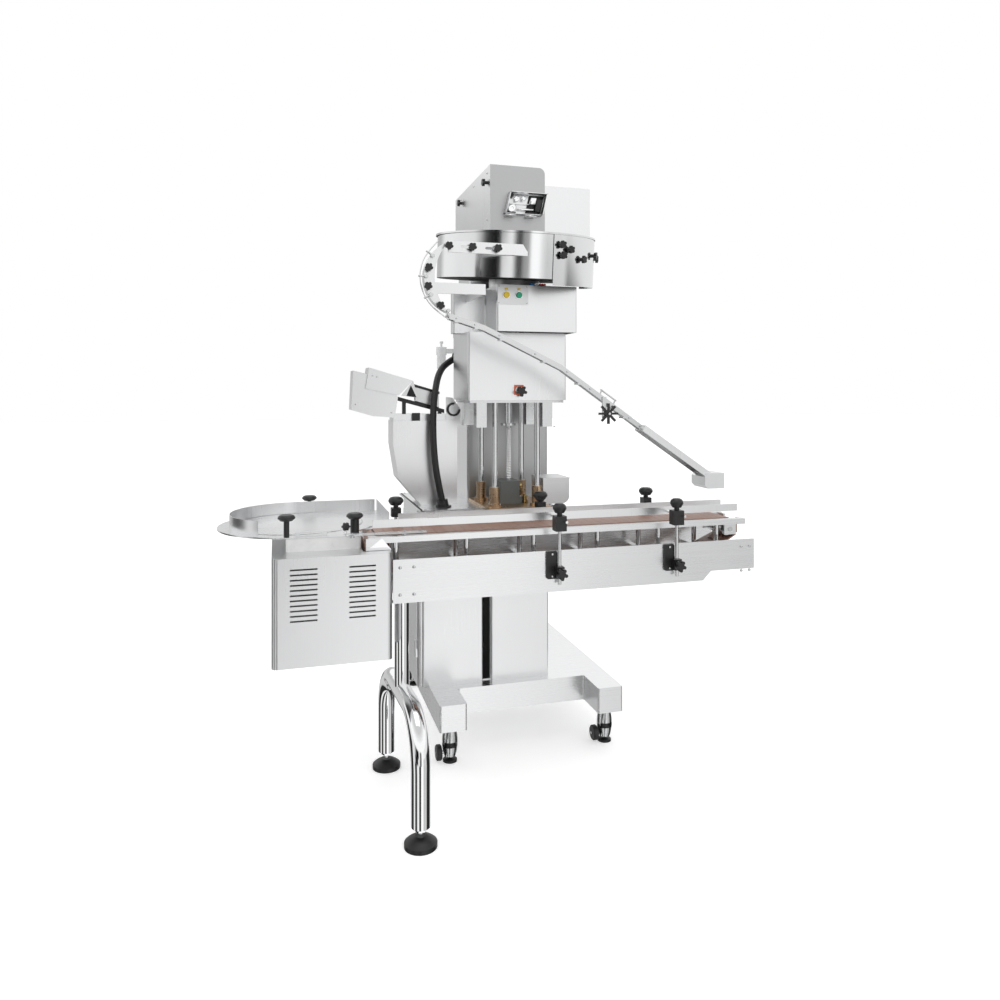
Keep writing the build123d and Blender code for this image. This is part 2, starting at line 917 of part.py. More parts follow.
buttons = []
for name, shift in (("button_yellow", 0), ("button_green", button_pitch)):
    with BuildPart() as button:
        with BuildSketch(Plane.XZ.offset(-housing_front + button_travel + slip)):
            with Locations((panel_left + button_inset + shift, panel_mid)):
                Circle(button_radius)
        extrude(amount=button_height)
        fillet(button.edges().filter_by(GeomType.CIRCLE).sort_by(Axis.Y)[0], 1.5)
    button.part.label = name
    buttons.append(button.part)

# Cap bowl on a pedestal cut to the bowl's tilt
with BuildPart() as bowl_pedestal:
    with BuildSketch(Plane.XY.offset(housing_top)):
        with Locations((bowl_x, bowl_y)):
            Circle(pedestal_radius)
    extrude(amount=bowl_level - housing_top + pedestal_radius)
    split(bisect_by=bowl_plane, keep=Keep.BOTTOM)
bowl_pedestal.part.label = "bowl_pedestal"

bowl_axis = Axis(bowl_plane.origin, bowl_plane.z_dir)
bowl_side = Plane(origin=bowl_plane.origin, x_dir=(1, 0, 0), z_dir=-bowl_plane.y_dir)
with BuildPart() as bowl_shell:
    with BuildSketch(bowl_side):
        with BuildLine():
            Polyline(
                (hub_bore, 0),
                (bowl_radius, 0),
                (bowl_radius, bowl_height - bowl_lip),
                (bowl_radius + bowl_lip, bowl_height - bowl_lip),
                (bowl_radius + bowl_lip, bowl_height),
                (bowl_radius - bowl_wall, bowl_height),
                (bowl_radius - bowl_wall, bowl_floor),
                (hub_bore, bowl_floor),
                close=True,
            )
        make_face()
    revolve(axis=bowl_axis)
bowl_shell.part.label = "bowl_shell"

with BuildPart() as bowl_disc:
    disc_low = bowl_floor + bowl_disc_clear
    with BuildSketch(bowl_side):
        with BuildLine():
            Polyline(
                (0, bowl_floor * 0.25),
                (hub_bore - running, bowl_floor * 0.25),
                (hub_bore - running, disc_low),
                (bowl_disc_radius, disc_low),
                (bowl_disc_radius, disc_low + bowl_disc_thickness),
                (bowl_hub_radius, disc_low + bowl_disc_thickness + 8),
                (bowl_hub_radius * 0.6, disc_low + bowl_hub_height),
                (0, disc_low + bowl_hub_height + 4),
                close=True,
            )
        make_face()
    revolve(axis=bowl_axis)
bowl_disc.part.label = "bowl_disc"

with BuildPart() as bowl_guard:
    guard_inner = bowl_radius + guard_gap
    with BuildSketch(bowl_plane.offset(-guard_drop)):
        with BuildLine():
            arc_wall(guard_inner + thin_sheet, thin_sheet, guard_start, guard_end)
        make_face()
    extrude(amount=bowl_height - bowl_lip - slip + guard_drop)
    for angle in (guard_start + 4, guard_end - 4):
        with BuildSketch(
            Plane(
                origin=bowl_plane.from_local_coords((
                    (bowl_radius + slip) * cos(radians(angle)), (bowl_radius + slip) * sin(radians(angle)),
                    bowl_height * 0.3,
                )),
                z_dir=bowl_plane.x_dir * cos(radians(angle)) + bowl_plane.y_dir * sin(radians(angle)),
            )
        ):
            Rectangle(16, 16)
        extrude(amount=guard_gap - slip + thin_sheet / 2)
bowl_guard.part.label = "bowl_guard"

# Rear tower and the two boxes above the bowl
with BuildPart() as rear_tower:
    with BuildSketch(Plane.XY.offset(housing_top)):
        with Locations(((tower_left + tower_right) / 2, (tower_front + housing_back) / 2)):
            RectangleRounded(tower_right - tower_left, housing_back - tower_front, housing_corner)
    extrude(amount=box_bottom - housing_top)
    with BuildSketch(Plane.XY.offset(housing_top)):
        with Locations(((tower_left + tower_right) / 2, (tower_front + housing_back) / 2)):
            Rectangle(tower_right - tower_left - 2 * sheet, housing_back - tower_front - 2 * sheet)
    extrude(amount=box_bottom - housing_top - sheet, mode=Mode.SUBTRACT)

with BuildPart() as top_box:
    with BuildSketch(Plane.XZ.offset(-top_box_front)) as box_face:
        with Locations((top_box_left + top_box_width / 2, (box_bottom + machine_height) / 2)):
            Rectangle(top_box_width, machine_height - box_bottom)
        fillet(box_face.vertices().group_by(Axis.Y)[-1].sort_by(Axis.X)[-1], box_corner)
    extrude(amount=-(housing_back - top_box_front))
    with Locations((top_box_left, top_box_front, box_bottom - box_skirt)):
        Box(top_box_width, box_skirt_depth, box_skirt, align=low)
    with Locations((top_box_left + sheet, top_box_front + sheet, box_bottom - box_skirt + sheet)):
        Box(
            top_box_width - 2 * sheet,
            box_skirt_depth - 2 * sheet,
            box_skirt,
            align=low,
            mode=Mode.SUBTRACT,
        )
    with Locations((top_box_left + sheet, top_box_front + sheet, box_bottom + sheet)):
        Box(
            top_box_width - 2 * sheet,
            housing_back - top_box_front - 2 * sheet,
            machine_height - box_bottom - box_corner - sheet,
            align=low,
            mode=Mode.SUBTRACT,
        )
top_box.part.label = "top_box"

with rear_tower:
    with BuildSketch(Plane.XZ.offset(-side_box_front)):
        with Locations((top_box_right + side_box_width / 2, (box_bottom + machine_height) / 2)):
            Rectangle(side_box_width, machine_height - box_bottom)
    extrude(amount=-(housing_back - side_box_front))
    with Locations((top_box_right + sheet, side_box_front + sheet, box_bottom)):
        Box(
            side_box_width - 2 * sheet,
            housing_back - side_box_front - 2 * sheet,
            machine_height - box_bottom - sheet,
            align=low,
            mode=Mode.SUBTRACT,
        )
rear_tower.part.label = "rear_tower"

# Cap chute: a curved drop, two straight rails with a knee and a wide trough
chute_front = chute_y - rail_gap / 2 - rail_thickness
with BuildPart() as cap_drop:
    middle_level = (crescent_top[1] + chute_start[1]) / 2
    for depth, reach in ((thin_sheet, 0), (rail_gap + 2 * rail_thickness, crescent_width - rail_thickness)):
        with BuildSketch(Plane.XZ.offset(-chute_front)):
            with BuildLine():
                ThreePointArc(
                    crescent_top, (crescent_top[0] - crescent_reach, middle_level), chute_start
                )
                ThreePointArc(
                    crescent_top,
                    (crescent_top[0] - crescent_reach + crescent_width - reach, middle_level),
                    chute_start,
                )
            make_face()
        extrude(amount=-depth)
    with BuildSketch(Plane.XZ.offset(-chute_front)):
        with Locations((crescent_top[0] - crescent_reach + 22, middle_level - 24)):
            Rectangle(24, 18)
    extrude(amount=-(rail_gap + 2 * rail_thickness))
cap_drop.part.label = "cap_drop"

# The support bar runs from the drop's back to the housing's stepped face
bar_left = crescent_top[0] - crescent_reach + 12
bar_front = chute_front + rail_gap + 2 * rail_thickness
with BuildPart() as chute_bar:
    with BuildSketch(Plane.XZ.offset(-bar_front)):
        with Locations(((bar_left + bar_right) / 2, bar_level)):
            Rectangle(bar_right - bar_left, bar_height)
    extrude(amount=-bar_thickness)
    with BuildSketch(Plane.XZ.offset(-bar_front)):
        with Locations((bar_right - bar_thickness / 2, bar_level)):
            Rectangle(bar_thickness, bar_height)
    extrude(amount=-(housing_step - bar_front))
chute_bar.part.label = "chute_bar"


def band(points, height):
    """A strip of constant height that follows a line of points in the XZ plane."""
    lower = [(x, z - height) for x, z in reversed(points)]
    Polyline(*points, *lower, close=True)


slope = atan2(chute_end[1] - trough_end[1], trough_end[0] - chute_end[0])
trough_plane = Plane(
    origin=(chute_end[0], chute_y, chute_end[1] - rail_height / 2),
    x_dir=(0, 1, 0),
    z_dir=(cos(slope), 0, -sin(slope)),
)

with BuildPart() as chute_rails:
    for start in (chute_front, chute_front + rail_gap + rail_thickness):
        with BuildSketch(Plane.XZ.offset(-start)):
            with BuildLine():
                band([chute_start, chute_bend, chute_knee, chute_end], rail_height)
            make_face()
        extrude(amount=-rail_thickness)
    for (x1, z1), (x2, z2) in (
        (chute_start, chute_bend), (chute_bend, chute_knee), (chute_knee, chute_end)
    ):
        for share in (0.22, 0.78):
            with BuildSketch(Plane.XZ.offset(-chute_front)):
                with Locations((x1 + (x2 - x1) * share, z1 + (z2 - z1) * share - rail_height)):
                    Rectangle(14, 5)
            extrude(amount=-(rail_gap + 2 * rail_thickness))
    for side in (-1, 1):
        with BuildSketch(trough_plane.offset(-joint_block)):
            with Locations((side * (trough_width / 2 - thin_sheet + rail_gap / 2) / 2, 0)):
                Rectangle(trough_width / 2 - thin_sheet - rail_gap / 2, joint_block)
        extrude(amount=2 * joint_block)
chute_rails.part.label = "chute_rails"

with BuildPart() as cap_trough:
    with BuildSketch(trough_plane):
        Rectangle(trough_width, trough_depth)
    extrude(amount=hypot(trough_end[0] - chute_end[0], chute_end[1] - trough_end[1]))
    with BuildSketch(trough_plane):
        with Locations((0, -thin_sheet)):
            Rectangle(trough_width - 2 * thin_sheet, trough_depth)
    extrude(
        amount=hypot(trough_end[0] - chute_end[0], chute_end[1] - trough_end[1]),
        mode=Mode.SUBTRACT,
    )
cap_trough.part.label = "cap_trough"

with BuildPart() as cap_head:
    with BuildSketch(Plane.XZ.offset(-(chute_y - end_box_depth / 2))) as head_side:
        with Locations((trough_end[0] + end_box_width / 2 - 26, trough_end[1] - end_box_height / 2)):
            Rectangle(end_box_width, end_box_height)
        chamfer(head_side.vertices().group_by(Axis.X)[0], 12)
    extrude(amount=-end_box_depth)
    add(cap_trough.part, mode=Mode.SUBTRACT)
cap_head.part.label = "cap_head"

# Cap counting star wheel on a bracket beside the lower rails
with BuildPart() as wheel_bracket:
    knee_share = (wheel_x - chute_knee[0]) / (chute_end[0] - chute_knee[0])
    rail_level = chute_knee[1] + (chute_end[1] - chute_knee[1]) * knee_share
    with BuildSketch(Plane.XZ.offset(-chute_front)):
        with Locations((wheel_x - 12, (rail_level + wheel_level) / 2 - 4)):
            Rectangle(14, rail_level - wheel_level + 22)
        with Locations((wheel_x - 6, wheel_level)):
            Rectangle(26, 16)
    extrude(amount=5)
    with BuildSketch(Plane.XZ.offset(-(chute_front - 5))):
        with Locations((wheel_x, wheel_level)):
            Circle(wheel_pin_radius)
    extrude(amount=wheel_thickness + 8)
wheel_bracket.part.label = "wheel_bracket"

with BuildPart() as star_wheel:
    with BuildSketch(Plane.XZ.offset(-(chute_front - 5 - slip))):
        with Locations((wheel_x, wheel_level)):
            Circle(wheel_hub_radius + 4)
            with PolarLocations(wheel_finger_length / 2, wheel_fingers):
                Rectangle(wheel_finger_length, wheel_finger_width)
            Circle(wheel_pin_radius + running, mode=Mode.SUBTRACT)
    extrude(amount=wheel_thickness)
star_wheel.part.label = "star_wheel"

# Conveyor: folded side plates with spreaders under them
with BuildPart() as conveyor_frame:
    for side in (-1, 1):
        outer_y = conveyor_y + side * plate_half
        with BuildSketch(Plane.XZ.offset(-outer_y)):
            with BuildLine():
                Polyline(
                    (side_left, side_bottom),
                    (side_notch_x, side_bottom),
                    (side_notch_x + side_notch, side_bottom + side_notch),
                    (right_end, side_bottom + side_notch),
                    (right_end, side_bottom + side_height),
                    (side_left, side_bottom + side_height),
                    close=True,
                )
            make_face()
        extrude(amount=side * side_plate)
        with BuildSketch(Plane.XY.offset(side_bottom)):
            with Locations(
                ((side_left + side_notch_x) / 2, outer_y - side * flange_width / 2)
            ):
                Rectangle(side_notch_x - side_left, flange_width)
        extrude(amount=side_plate)
    spreader_step = (side_notch_x - side_left - 2 * spreader_width) / 3
    with BuildSketch(Plane.XY.offset(side_bottom)):
        with Locations(
            (stand_x, conveyor_y),
            (stand_x + spreader_step, conveyor_y),
            (stand_x + 2 * spreader_step, conveyor_y),
            (side_notch_x - spreader_width, conveyor_y),
        ):
            Rectangle(spreader_width, 2 * plate_half - side_plate)
    extrude(amount=spreader_thickness)
conveyor_frame.part.label = "conveyor_frame"

# Supports: a bar between the side plates with two spacers that carry the bed
support_pitch = (drive_x - idler_x - 2 * support_inset) / (support_count - 1)
support_xs = [idler_x + support_inset + support_pitch * index for index in range(support_count)]
bed_bottom = belt_top - 2 - bed_height
with BuildPart() as bed_supports:
    with BuildSketch(Plane.XY.offset(support_bar_bottom)):
        with Locations([(x, conveyor_y) for x in support_xs]):
            Rectangle(support_bar_width, 2 * (plate_half - side_plate))
    extrude(amount=support_bar_height)
    with BuildSketch(Plane.XY.offset(support_bar_bottom)):
        with Locations([(x, conveyor_y + side * spacer_half) for x in support_xs for side in (-1, 1)]):
            Circle(spacer_radius)
    extrude(amount=bed_bottom - support_bar_bottom)
bed_supports.part.label = "bed_supports"

# Bed: two side profiles with wear strips under the slats and bearing plates at the ends
bed_left = idler_x - 26
with BuildPart() as conveyor_bed:
    for side in (-1, 1):
        with BuildSketch(Plane.YZ.offset(bed_left)):
            with BuildLine():
                Polyline(
                    (conveyor_y + side * bed_outer, bed_bottom),
                    (conveyor_y + side * bed_outer, bed_bottom + bed_height),
                    (conveyor_y + side * bed_inner, bed_bottom + bed_height),
                    (conveyor_y + side * bed_inner, hinge_level + link_drop),
                    (conveyor_y + side * wear_strip_inner, hinge_level + link_drop),
                    (conveyor_y + side * wear_strip_inner, hinge_level + link_drop - wear_strip_height),
                    (conveyor_y + side * bed_inner, hinge_level + link_drop - wear_strip_height),
                    (conveyor_y + side * bed_inner, bed_bottom),
                    close=True,
                )
            make_face()
        extrude(amount=right_end - bed_left)
        for end_x in (idler_x, drive_x):
            with BuildSketch(Plane.XZ.offset(-(conveyor_y + side * (bed_inner + 4)))):
                with Locations((end_x, roller_level + bed_bottom / 2 - roller_level / 2)):
                    Rectangle(44, bed_bottom - roller_level + 36)
            extrude(amount=-side * 6)
            with BuildSketch(Plane.XZ.offset(-(conveyor_y + side * (bed_inner - 1)))):
                with Locations((end_x, roller_level)):
                    Circle(shaft_radius + running)
            extrude(amount=-side * 24, mode=Mode.SUBTRACT)
    with Locations((idler_x - 10, conveyor_y, belt_top), (drive_x + 10, conveyor_y, belt_top)):
        Box(
            60, 2 * bed_inner, 40,
            align=(Align.CENTER, Align.CENTER, Align.MAX), mode=Mode.SUBTRACT,
        )
    with BuildSketch(Plane.XZ.offset(-(conveyor_y - bed_outer))):
        with BuildLine():
            Polyline(
                (bed_left - 8, bed_bottom - nose_drop),
                (bed_left - 8, bed_bottom + 15),
                (bed_left + 38, bed_bottom + 15),
                (bed_left + 66, bed_bottom - nose_drop),
                close=True,
            )
        make_face()
    extrude(amount=side_plate)
conveyor_bed.part.label = "conveyor_bed"

# Slat chain: links along the top, three round each end roller and a lower return run
def slat_link():
    """One slat with a hook at its far end that holds the pin of the next slat."""
    with BuildPart(mode=Mode.PRIVATE) as link:
        with BuildSketch(Plane.XZ):
            with Locations((link_pitch / 2, link_drop + link_plate / 2)):
                Rectangle(link_pitch - link_gap, link_plate)
        extrude(amount=link_width / 2, both=True)
        with BuildSketch(Plane.XZ):
            with Locations((link_pitch / 2, link_drop / 2 - 0.5)):
                Trapezoid(link_pitch * 0.7, link_drop + 1, 60, rotation=180)
        extrude(amount=rib_width / 2, both=True)
        with BuildSketch(Plane.XZ):
            with BuildLine():
                Polyline(
                    (link_pitch - 7, link_drop),
                    (link_pitch - 7, -hook_floor - hook_wall),
                    (link_pitch + hook_floor, -hook_floor - hook_wall),
                    (link_pitch + hook_floor, -hook_floor),
                    (link_pitch - hook_floor, -hook_floor),
                    (link_pitch - hook_floor, link_drop),
                    close=True,
                )
            make_face()
        extrude(amount=hook_width / 2, both=True)
        with BuildSketch(Plane.XZ):
            Circle(pin_radius)
        extrude(amount=hook_width / 2 + pin_cheek, both=True)
        for side in (-1, 1):
            with BuildSketch(Plane.XZ.offset(side * (hook_width / 2 + running))):
                with Locations((link_gap + pin_radius, link_drop / 2 - pin_radius / 2)):
                    Rectangle(2 * pin_radius + 2 * link_gap, link_drop + pin_radius)
            extrude(amount=side * pin_cheek)
    return link.part


hinge_points = [
    (idler_x + index * link_pitch, hinge_level) for index in range(links_along_top + 1)
]
hinge_points += [
    (drive_x + link_pitch * sin(radians(turn)), roller_level + link_pitch * cos(radians(turn)))
    for turn in (60, 120)
]
# The return run slopes down to a lower level; its one extra link sets the slope
return_links = links_along_top + 1
slope_cosine = 1 - 1 / (2 * sloped_links)
slope_sine = sin(acos(slope_cosine))
return_x = drive_x
return_z = roller_level - link_pitch
hinge_points.append((return_x, return_z))
for index in range(return_links):
    if index < sloped_links:
        along_x, along_z = slope_cosine, -slope_sine
    elif index < return_links - sloped_links:
        along_x, along_z = 1, 0
    else:
        along_x, along_z = slope_cosine, slope_sine
    return_x -= link_pitch * along_x
    return_z += link_pitch * along_z
    hinge_points.append((return_x, return_z))
hinge_points += [
    (idler_x - link_pitch * sin(radians(turn)), roller_level + link_pitch * cos(radians(turn)))
    for turn in (120, 60)
]
link_planes = []
for (x1, z1), (x2, z2) in zip(hinge_points, hinge_points[1:] + hinge_points[:1]):
    along = Vector(x2 - x1, 0, z2 - z1).normalized()
    link_planes.append(
        Plane(origin=(x1, conveyor_y, z1), x_dir=along, z_dir=along.cross(Vector(0, 1, 0)))
    )
link_shape = slat_link()
with BuildPart() as slat_chain:
    with Locations(*link_planes):
        add(link_shape)
slat_chain.part.label = "slat_chain"

rollers = []
for name, end_x in (("idler_roller", idler_x), ("drive_roller", drive_x)):
    with BuildPart() as roller:
        with BuildSketch(Plane.XZ.offset(-conveyor_y)):
            with Locations((end_x, roller_level)):
                Circle(roller_radius)
        extrude(amount=roller_width / 2, both=True)
        with BuildSketch(Plane.XZ.offset(-conveyor_y)):
            with Locations((end_x, roller_level)):
                Circle(shaft_radius)
        extrude(amount=bed_inner + 12, both=True)
    roller.part.label = name
    rollers.append(roller.part)

# Arms from the column to the conveyor
with BuildPart() as conveyor_arms:
    with BuildSketch(Plane.XZ) as arm_section:
        with Locations([(x, arm_level) for x in arm_xs]):
            Rectangle(arm_width, arm_height)
    extrude(amount=-(conveyor_y + plate_half))
    with BuildSketch(Plane.XZ):
        with Locations([(x, arm_level) for x in arm_xs]):
            Rectangle(arm_width + 40, arm_height + 24)
    extrude(amount=6)
conveyor_arms.part.label = "conveyor_arms"

# Bent tube stand: an arch with a welded post
with BuildPart() as stand_tube:
    leg_shift = (stand_half * sin(radians(stand_turn)), stand_half * cos(radians(stand_turn)))
    front_leg = (stand_x + leg_shift[0], conveyor_y - leg_shift[1])
    rear_leg = (stand_x - leg_shift[0], conveyor_y + leg_shift[1])
    with BuildLine() as arch:
        FilletPolyline(
            (*front_leg, stand_tube_bottom),
            (*front_leg, stand_arch_level),
            (*rear_leg, stand_arch_level),
            (*rear_leg, stand_tube_bottom),
            radius=stand_bend,
        )
    with BuildSketch(Plane.XY.offset(stand_tube_bottom)):
        with Locations(front_leg):
            Circle(stand_tube_radius)
    sweep(path=arch.line)
    with BuildSketch(Plane.XY.offset(stand_arch_level)):
        with Locations((stand_x, conveyor_y)):
            Circle(stand_post_radius)
    extrude(amount=side_bottom - stand_arch_level)
    with BuildSketch(Plane.XY.offset(stand_tube_bottom)):
        with Locations(front_leg, rear_leg):
            Circle(stud_radius + running)
    extrude(amount=60, mode=Mode.SUBTRACT)
stand_tube.part.label = "stand_tube"

with BuildPart() as stand_feet:
    for foot_x, foot_y in (front_leg, rear_leg):
        with BuildSketch(Plane.XZ.offset(-foot_y)):
            with BuildLine():
                Line((foot_x + stud_radius + running, 4), (foot_x + stud_radius + running, foot_height))
                Line((foot_x + stud_radius + running, foot_height), (foot_x + foot_top_radius, foot_height))
                ThreePointArc(
                    (foot_x + foot_top_radius, foot_height),
                    (foot_x + foot_radius * 0.72, foot_height * 0.72),
                    (foot_x + foot_radius, foot_rim),
                )
                Line((foot_x + foot_radius, foot_rim), (foot_x + foot_radius, 0))
                Line((foot_x + foot_radius, 0), (foot_x, 0))
                Line((foot_x, 0), (foot_x, 4))
                Line((foot_x, 4), (foot_x + stud_radius + running, 4))
            make_face()
        revolve(axis=Axis((foot_x, foot_y, 0), (0, 0, 1)))
stand_feet.part.label = "stand_feet"

with BuildPart() as stand_studs:
    with BuildSketch(Plane.XY.offset(4)):
        with Locations(front_leg, rear_leg):
            Circle(stud_radius)
    extrude(amount=stand_tube_bottom + 40)
    with BuildSketch(Plane.XY.offset(stand_tube_bottom - nut_height)):
        with Locations(front_leg, rear_leg):
            RegularPolygon(nut_across / 2, 6, major_radius=False)
    extrude(amount=nut_height)
stand_studs.part.label = "stand_studs"

# Guide rails: the front one slides on posts, the rear one is fixed
cross_level = guide_bar_bottom + guide_bar_height / 2
cross_shift = guide_block / 2 - cross_rod_radius - 2
rear_post_xs = (stand_x + 3, *[x + rear_post_shift for x in rail_post_xs])
with BuildPart() as front_posts:
    with BuildSketch(Plane.XY.offset(guide_block_bottom)):
        with Locations([(x, front_post_y) for x in rail_post_xs]):
            Rectangle(guide_block, guide_block)
    extrude(amount=guide_block_height)
    with BuildSketch(Plane.XY.offset(post_rod_bottom)):
        with Locations([(x, front_post_y) for x in rail_post_xs]):
            Circle(post_rod_radius)
    extrude(amount=post_rod_top - post_rod_bottom)
    with BuildSketch(Plane.XZ.offset(-(front_post_y - guide_block))):
        with Locations([(x + cross_shift, cross_level) for x in rail_post_xs]):
            Circle(cross_rod_radius + running)
    extrude(amount=-2 * guide_block, mode=Mode.SUBTRACT)
    with Locations(*[facing((x, front_post_y, guide_block_top), (0, 0, 1)) for x in rail_post_xs]):
        add(mushroom_knob(mushroom_radius, mushroom_height, mushroom_stem, mushroom_stem_radius))
front_posts.part.label = "front_posts"

with BuildPart() as front_rail:
    with BuildSketch(Plane.YZ.offset(front_rail_left)):
        with Locations((front_rail_y - guide_bar_thickness / 2, cross_level)):
            Rectangle(guide_bar_thickness, guide_bar_height)
    extrude(amount=guide_right - front_rail_left)
    with BuildSketch(Plane.XZ.offset(-(front_post_y - 34))):
        with Locations([(x + cross_shift, cross_level) for x in rail_post_xs]):
            Circle(cross_rod_radius)
    extrude(amount=-(front_rail_y - guide_bar_thickness - front_post_y + 34))
front_rail.part.label = "front_rail"

with BuildPart() as rear_rail:
    with BuildSketch(Plane.YZ.offset(rear_rail_left)):
        with Locations((rear_rail_y + guide_bar_thickness / 2, cross_level)):
            Rectangle(guide_bar_thickness, guide_bar_height)
    extrude(amount=guide_right - rear_rail_left)
    with BuildSketch(Plane.XZ.offset(-(rear_rail_y + guide_bar_thickness))):
        with Locations([(x, cross_level) for x in rear_post_xs]):
            Circle(cross_rod_radius)
    extrude(amount=-(rear_post_y + 20 - rear_rail_y - guide_bar_thickness))
    with BuildSketch(Plane.XY.offset(side_bottom + side_height - 40)):
        with Locations([(x, rear_post_y) for x in rear_post_xs]):
            Circle(post_rod_radius)
    extrude(amount=cross_level - side_bottom - side_height + 40)
rear_rail.part.label = "rear_rail"

with BuildPart() as rail_clamps:
    for x in rail_post_xs:
        plate_front = conveyor_y - plate_half
        with BuildSketch(Plane.XZ.offset(-plate_front)):
            with Locations((x - clamp_plate_shift, clamp_bottom + clamp_plate_height / 2)):
                RectangleRounded(clamp_plate_width, clamp_plate_height, 6)
        extrude(amount=clamp_plate_thickness)
        with BuildSketch(Plane.XY.offset(clamp_bottom + 4)):
            with Locations((x, (plate_front + front_post_y - 12) / 2)):
                Rectangle(24, plate_front - front_post_y + 12)
            with Locations((x, front_post_y)):
                Circle(post_rod_radius + running, mode=Mode.SUBTRACT)
        extrude(amount=34)
    with BuildSketch(Plane.XY.offset(rear_block_bottom)):
        with Locations([(x, rear_post_y) for x in rear_post_xs]):
            Rectangle(rear_block, rear_block)
    extrude(amount=guide_block_top - rear_block_bottom)
    with BuildSketch(Plane.XZ.offset(-(rear_post_y - rear_block))):
        with Locations([(x, cross_level) for x in rear_post_xs]):
            Circle(cross_rod_radius + running)
    extrude(amount=-2 * rear_block, mode=Mode.SUBTRACT)
    with BuildSketch(Plane.XZ.offset(-(conveyor_y + plate_half))):
        with Locations([(x, side_bottom + side_height - 30) for x in rear_post_xs]):
            Rectangle(24, 40)
    extrude(amount=-(rear_post_y - conveyor_y - plate_half + 12))
    with BuildSketch(Plane.XY.offset(side_bottom)):
        with Locations([(x, rear_post_y) for x in rear_post_xs]):
            Circle(post_rod_radius + running)
    extrude(amount=cross_level - side_bottom + post_rod_radius, mode=Mode.SUBTRACT)
    with Locations(*[facing((x, rear_post_y, guide_block_top), (0, 0, 1)) for x in rear_post_xs]):
        add(mushroom_knob(mushroom_radius + 4, mushroom_height - 2, mushroom_stem, mushroom_stem_radius))
    with Locations(*[
        facing((x - 4, front_post_y - 12, clamp_bottom + 21), (0, -1, 0)) for x in rail_post_xs
    ]):
        add(star_knob(star_radius + 1, star_height, star_hub_height))
rail_clamps.part.label = "rail_clamps"

# Drive cabinet with two banks of louvres
with BuildPart() as drive_cabinet:
    cabinet_mid = (cabinet_left + cabinet_width / 2, cabinet_front + cabinet_depth / 2)
    with BuildSketch(Plane.XY.offset(cabinet_bottom)) as cabinet_plan:
        with Locations(cabinet_mid):
            RectangleRounded(cabinet_width, cabinet_depth, cabinet_corner)
    extrude(amount=cabinet_height)
    with BuildSketch(Plane.XY.offset(cabinet_bottom + sheet)):
        with Locations(cabinet_mid):
            RectangleRounded(cabinet_width - 2 * sheet, cabinet_depth - 2 * sheet, cabinet_corner - sheet)
    extrude(amount=cabinet_height - 2 * sheet, mode=Mode.SUBTRACT)
    with BuildSketch(Plane.XZ.offset(-cabinet_front)):
        for bank in (
            cabinet_left + louvre_inset + louvre_width / 2,
            cabinet_right - louvre_inset - louvre_width / 2,
        ):
            with Locations([
                (bank, louvre_bottom + index * louvre_pitch) for index in range(louvre_count)
            ]):
                Rectangle(louvre_width, louvre_height)
    extrude(amount=-sheet, mode=Mode.SUBTRACT)
    with Locations((cabinet_right, conveyor_y, cabinet_top)):
        Box(
            nose_notch_width, 2 * nose_notch_half, nose_notch_depth,
            align=(Align.MAX, Align.CENTER, Align.MAX), mode=Mode.SUBTRACT,
        )
drive_cabinet.part.label = "drive_cabinet"

# Table frame, tray and disc
with BuildPart() as table_frame:
    frame_mid = (table_frame_left + table_frame_width / 2, (table_frame_front + table_frame_back) / 2)
    with BuildSketch(Plane.XY.offset(cabinet_top)):
        with Locations(frame_mid):
            RectangleRounded(table_frame_width, table_frame_back - table_frame_front, 8)
    extrude(amount=table_frame_height)
    with BuildSketch(Plane.XY.offset(cabinet_top)):
        with Locations(frame_mid):
            Rectangle(
                table_frame_width - 2 * table_frame_wall,
                table_frame_back - table_frame_front - 2 * table_frame_wall,
            )
    extrude(amount=table_frame_height - table_frame_wall, mode=Mode.SUBTRACT)
    with BuildSketch(Plane.XY.offset(cabinet_top)):
        with Locations((table_x, table_y)):
            Circle(hub_bore + running)
    extrude(amount=table_frame_height, mode=Mode.SUBTRACT)
table_frame.part.label = "table_frame"

side_apron_front = conveyor_y + bed_outer + 6
back_wall_y = table_y + fence_radius
with BuildPart() as table_tray:
    with BuildSketch(Plane.XY.offset(tray_bottom)):
        with Locations((table_x, table_y)):
            Circle(tray_radius)
        with Locations(((apron_left + apron_right) / 2, table_y - tray_radius / 2)):
            Rectangle(apron_right - apron_left, tray_radius)
        with Locations(((table_x + rear_guide_x) / 2, (side_apron_front + back_wall_y + tray_rim) / 2)):
            Rectangle(rear_guide_x - table_x, back_wall_y + tray_rim - side_apron_front)
    extrude(amount=tray_thickness)
    with BuildSketch(Plane.XY.offset(tray_top - disc_thickness + 1)):
        with Locations((table_x, table_y)):
            Circle(disc_radius + working)
    extrude(amount=disc_thickness, mode=Mode.SUBTRACT)
    with BuildSketch(Plane.XY.offset(tray_bottom)):
        with Locations((table_x, table_y)):
            Circle(hub_bore + running)
    extrude(amount=tray_thickness, mode=Mode.SUBTRACT)
table_tray.part.label = "table_tray"

with BuildPart() as turntable_disc:
    with BuildSketch(Plane.XY.offset(tray_bottom + 1 + slip)):
        with Locations((table_x, table_y)):
            Circle(disc_radius)
    extrude(amount=disc_thickness)
    with BuildSketch(Plane.XY.offset(tray_bottom - 12)):
        with Locations((table_x, table_y)):
            Circle(hub_bore)
    extrude(amount=14)
turntable_disc.part.label = "turntable_disc"

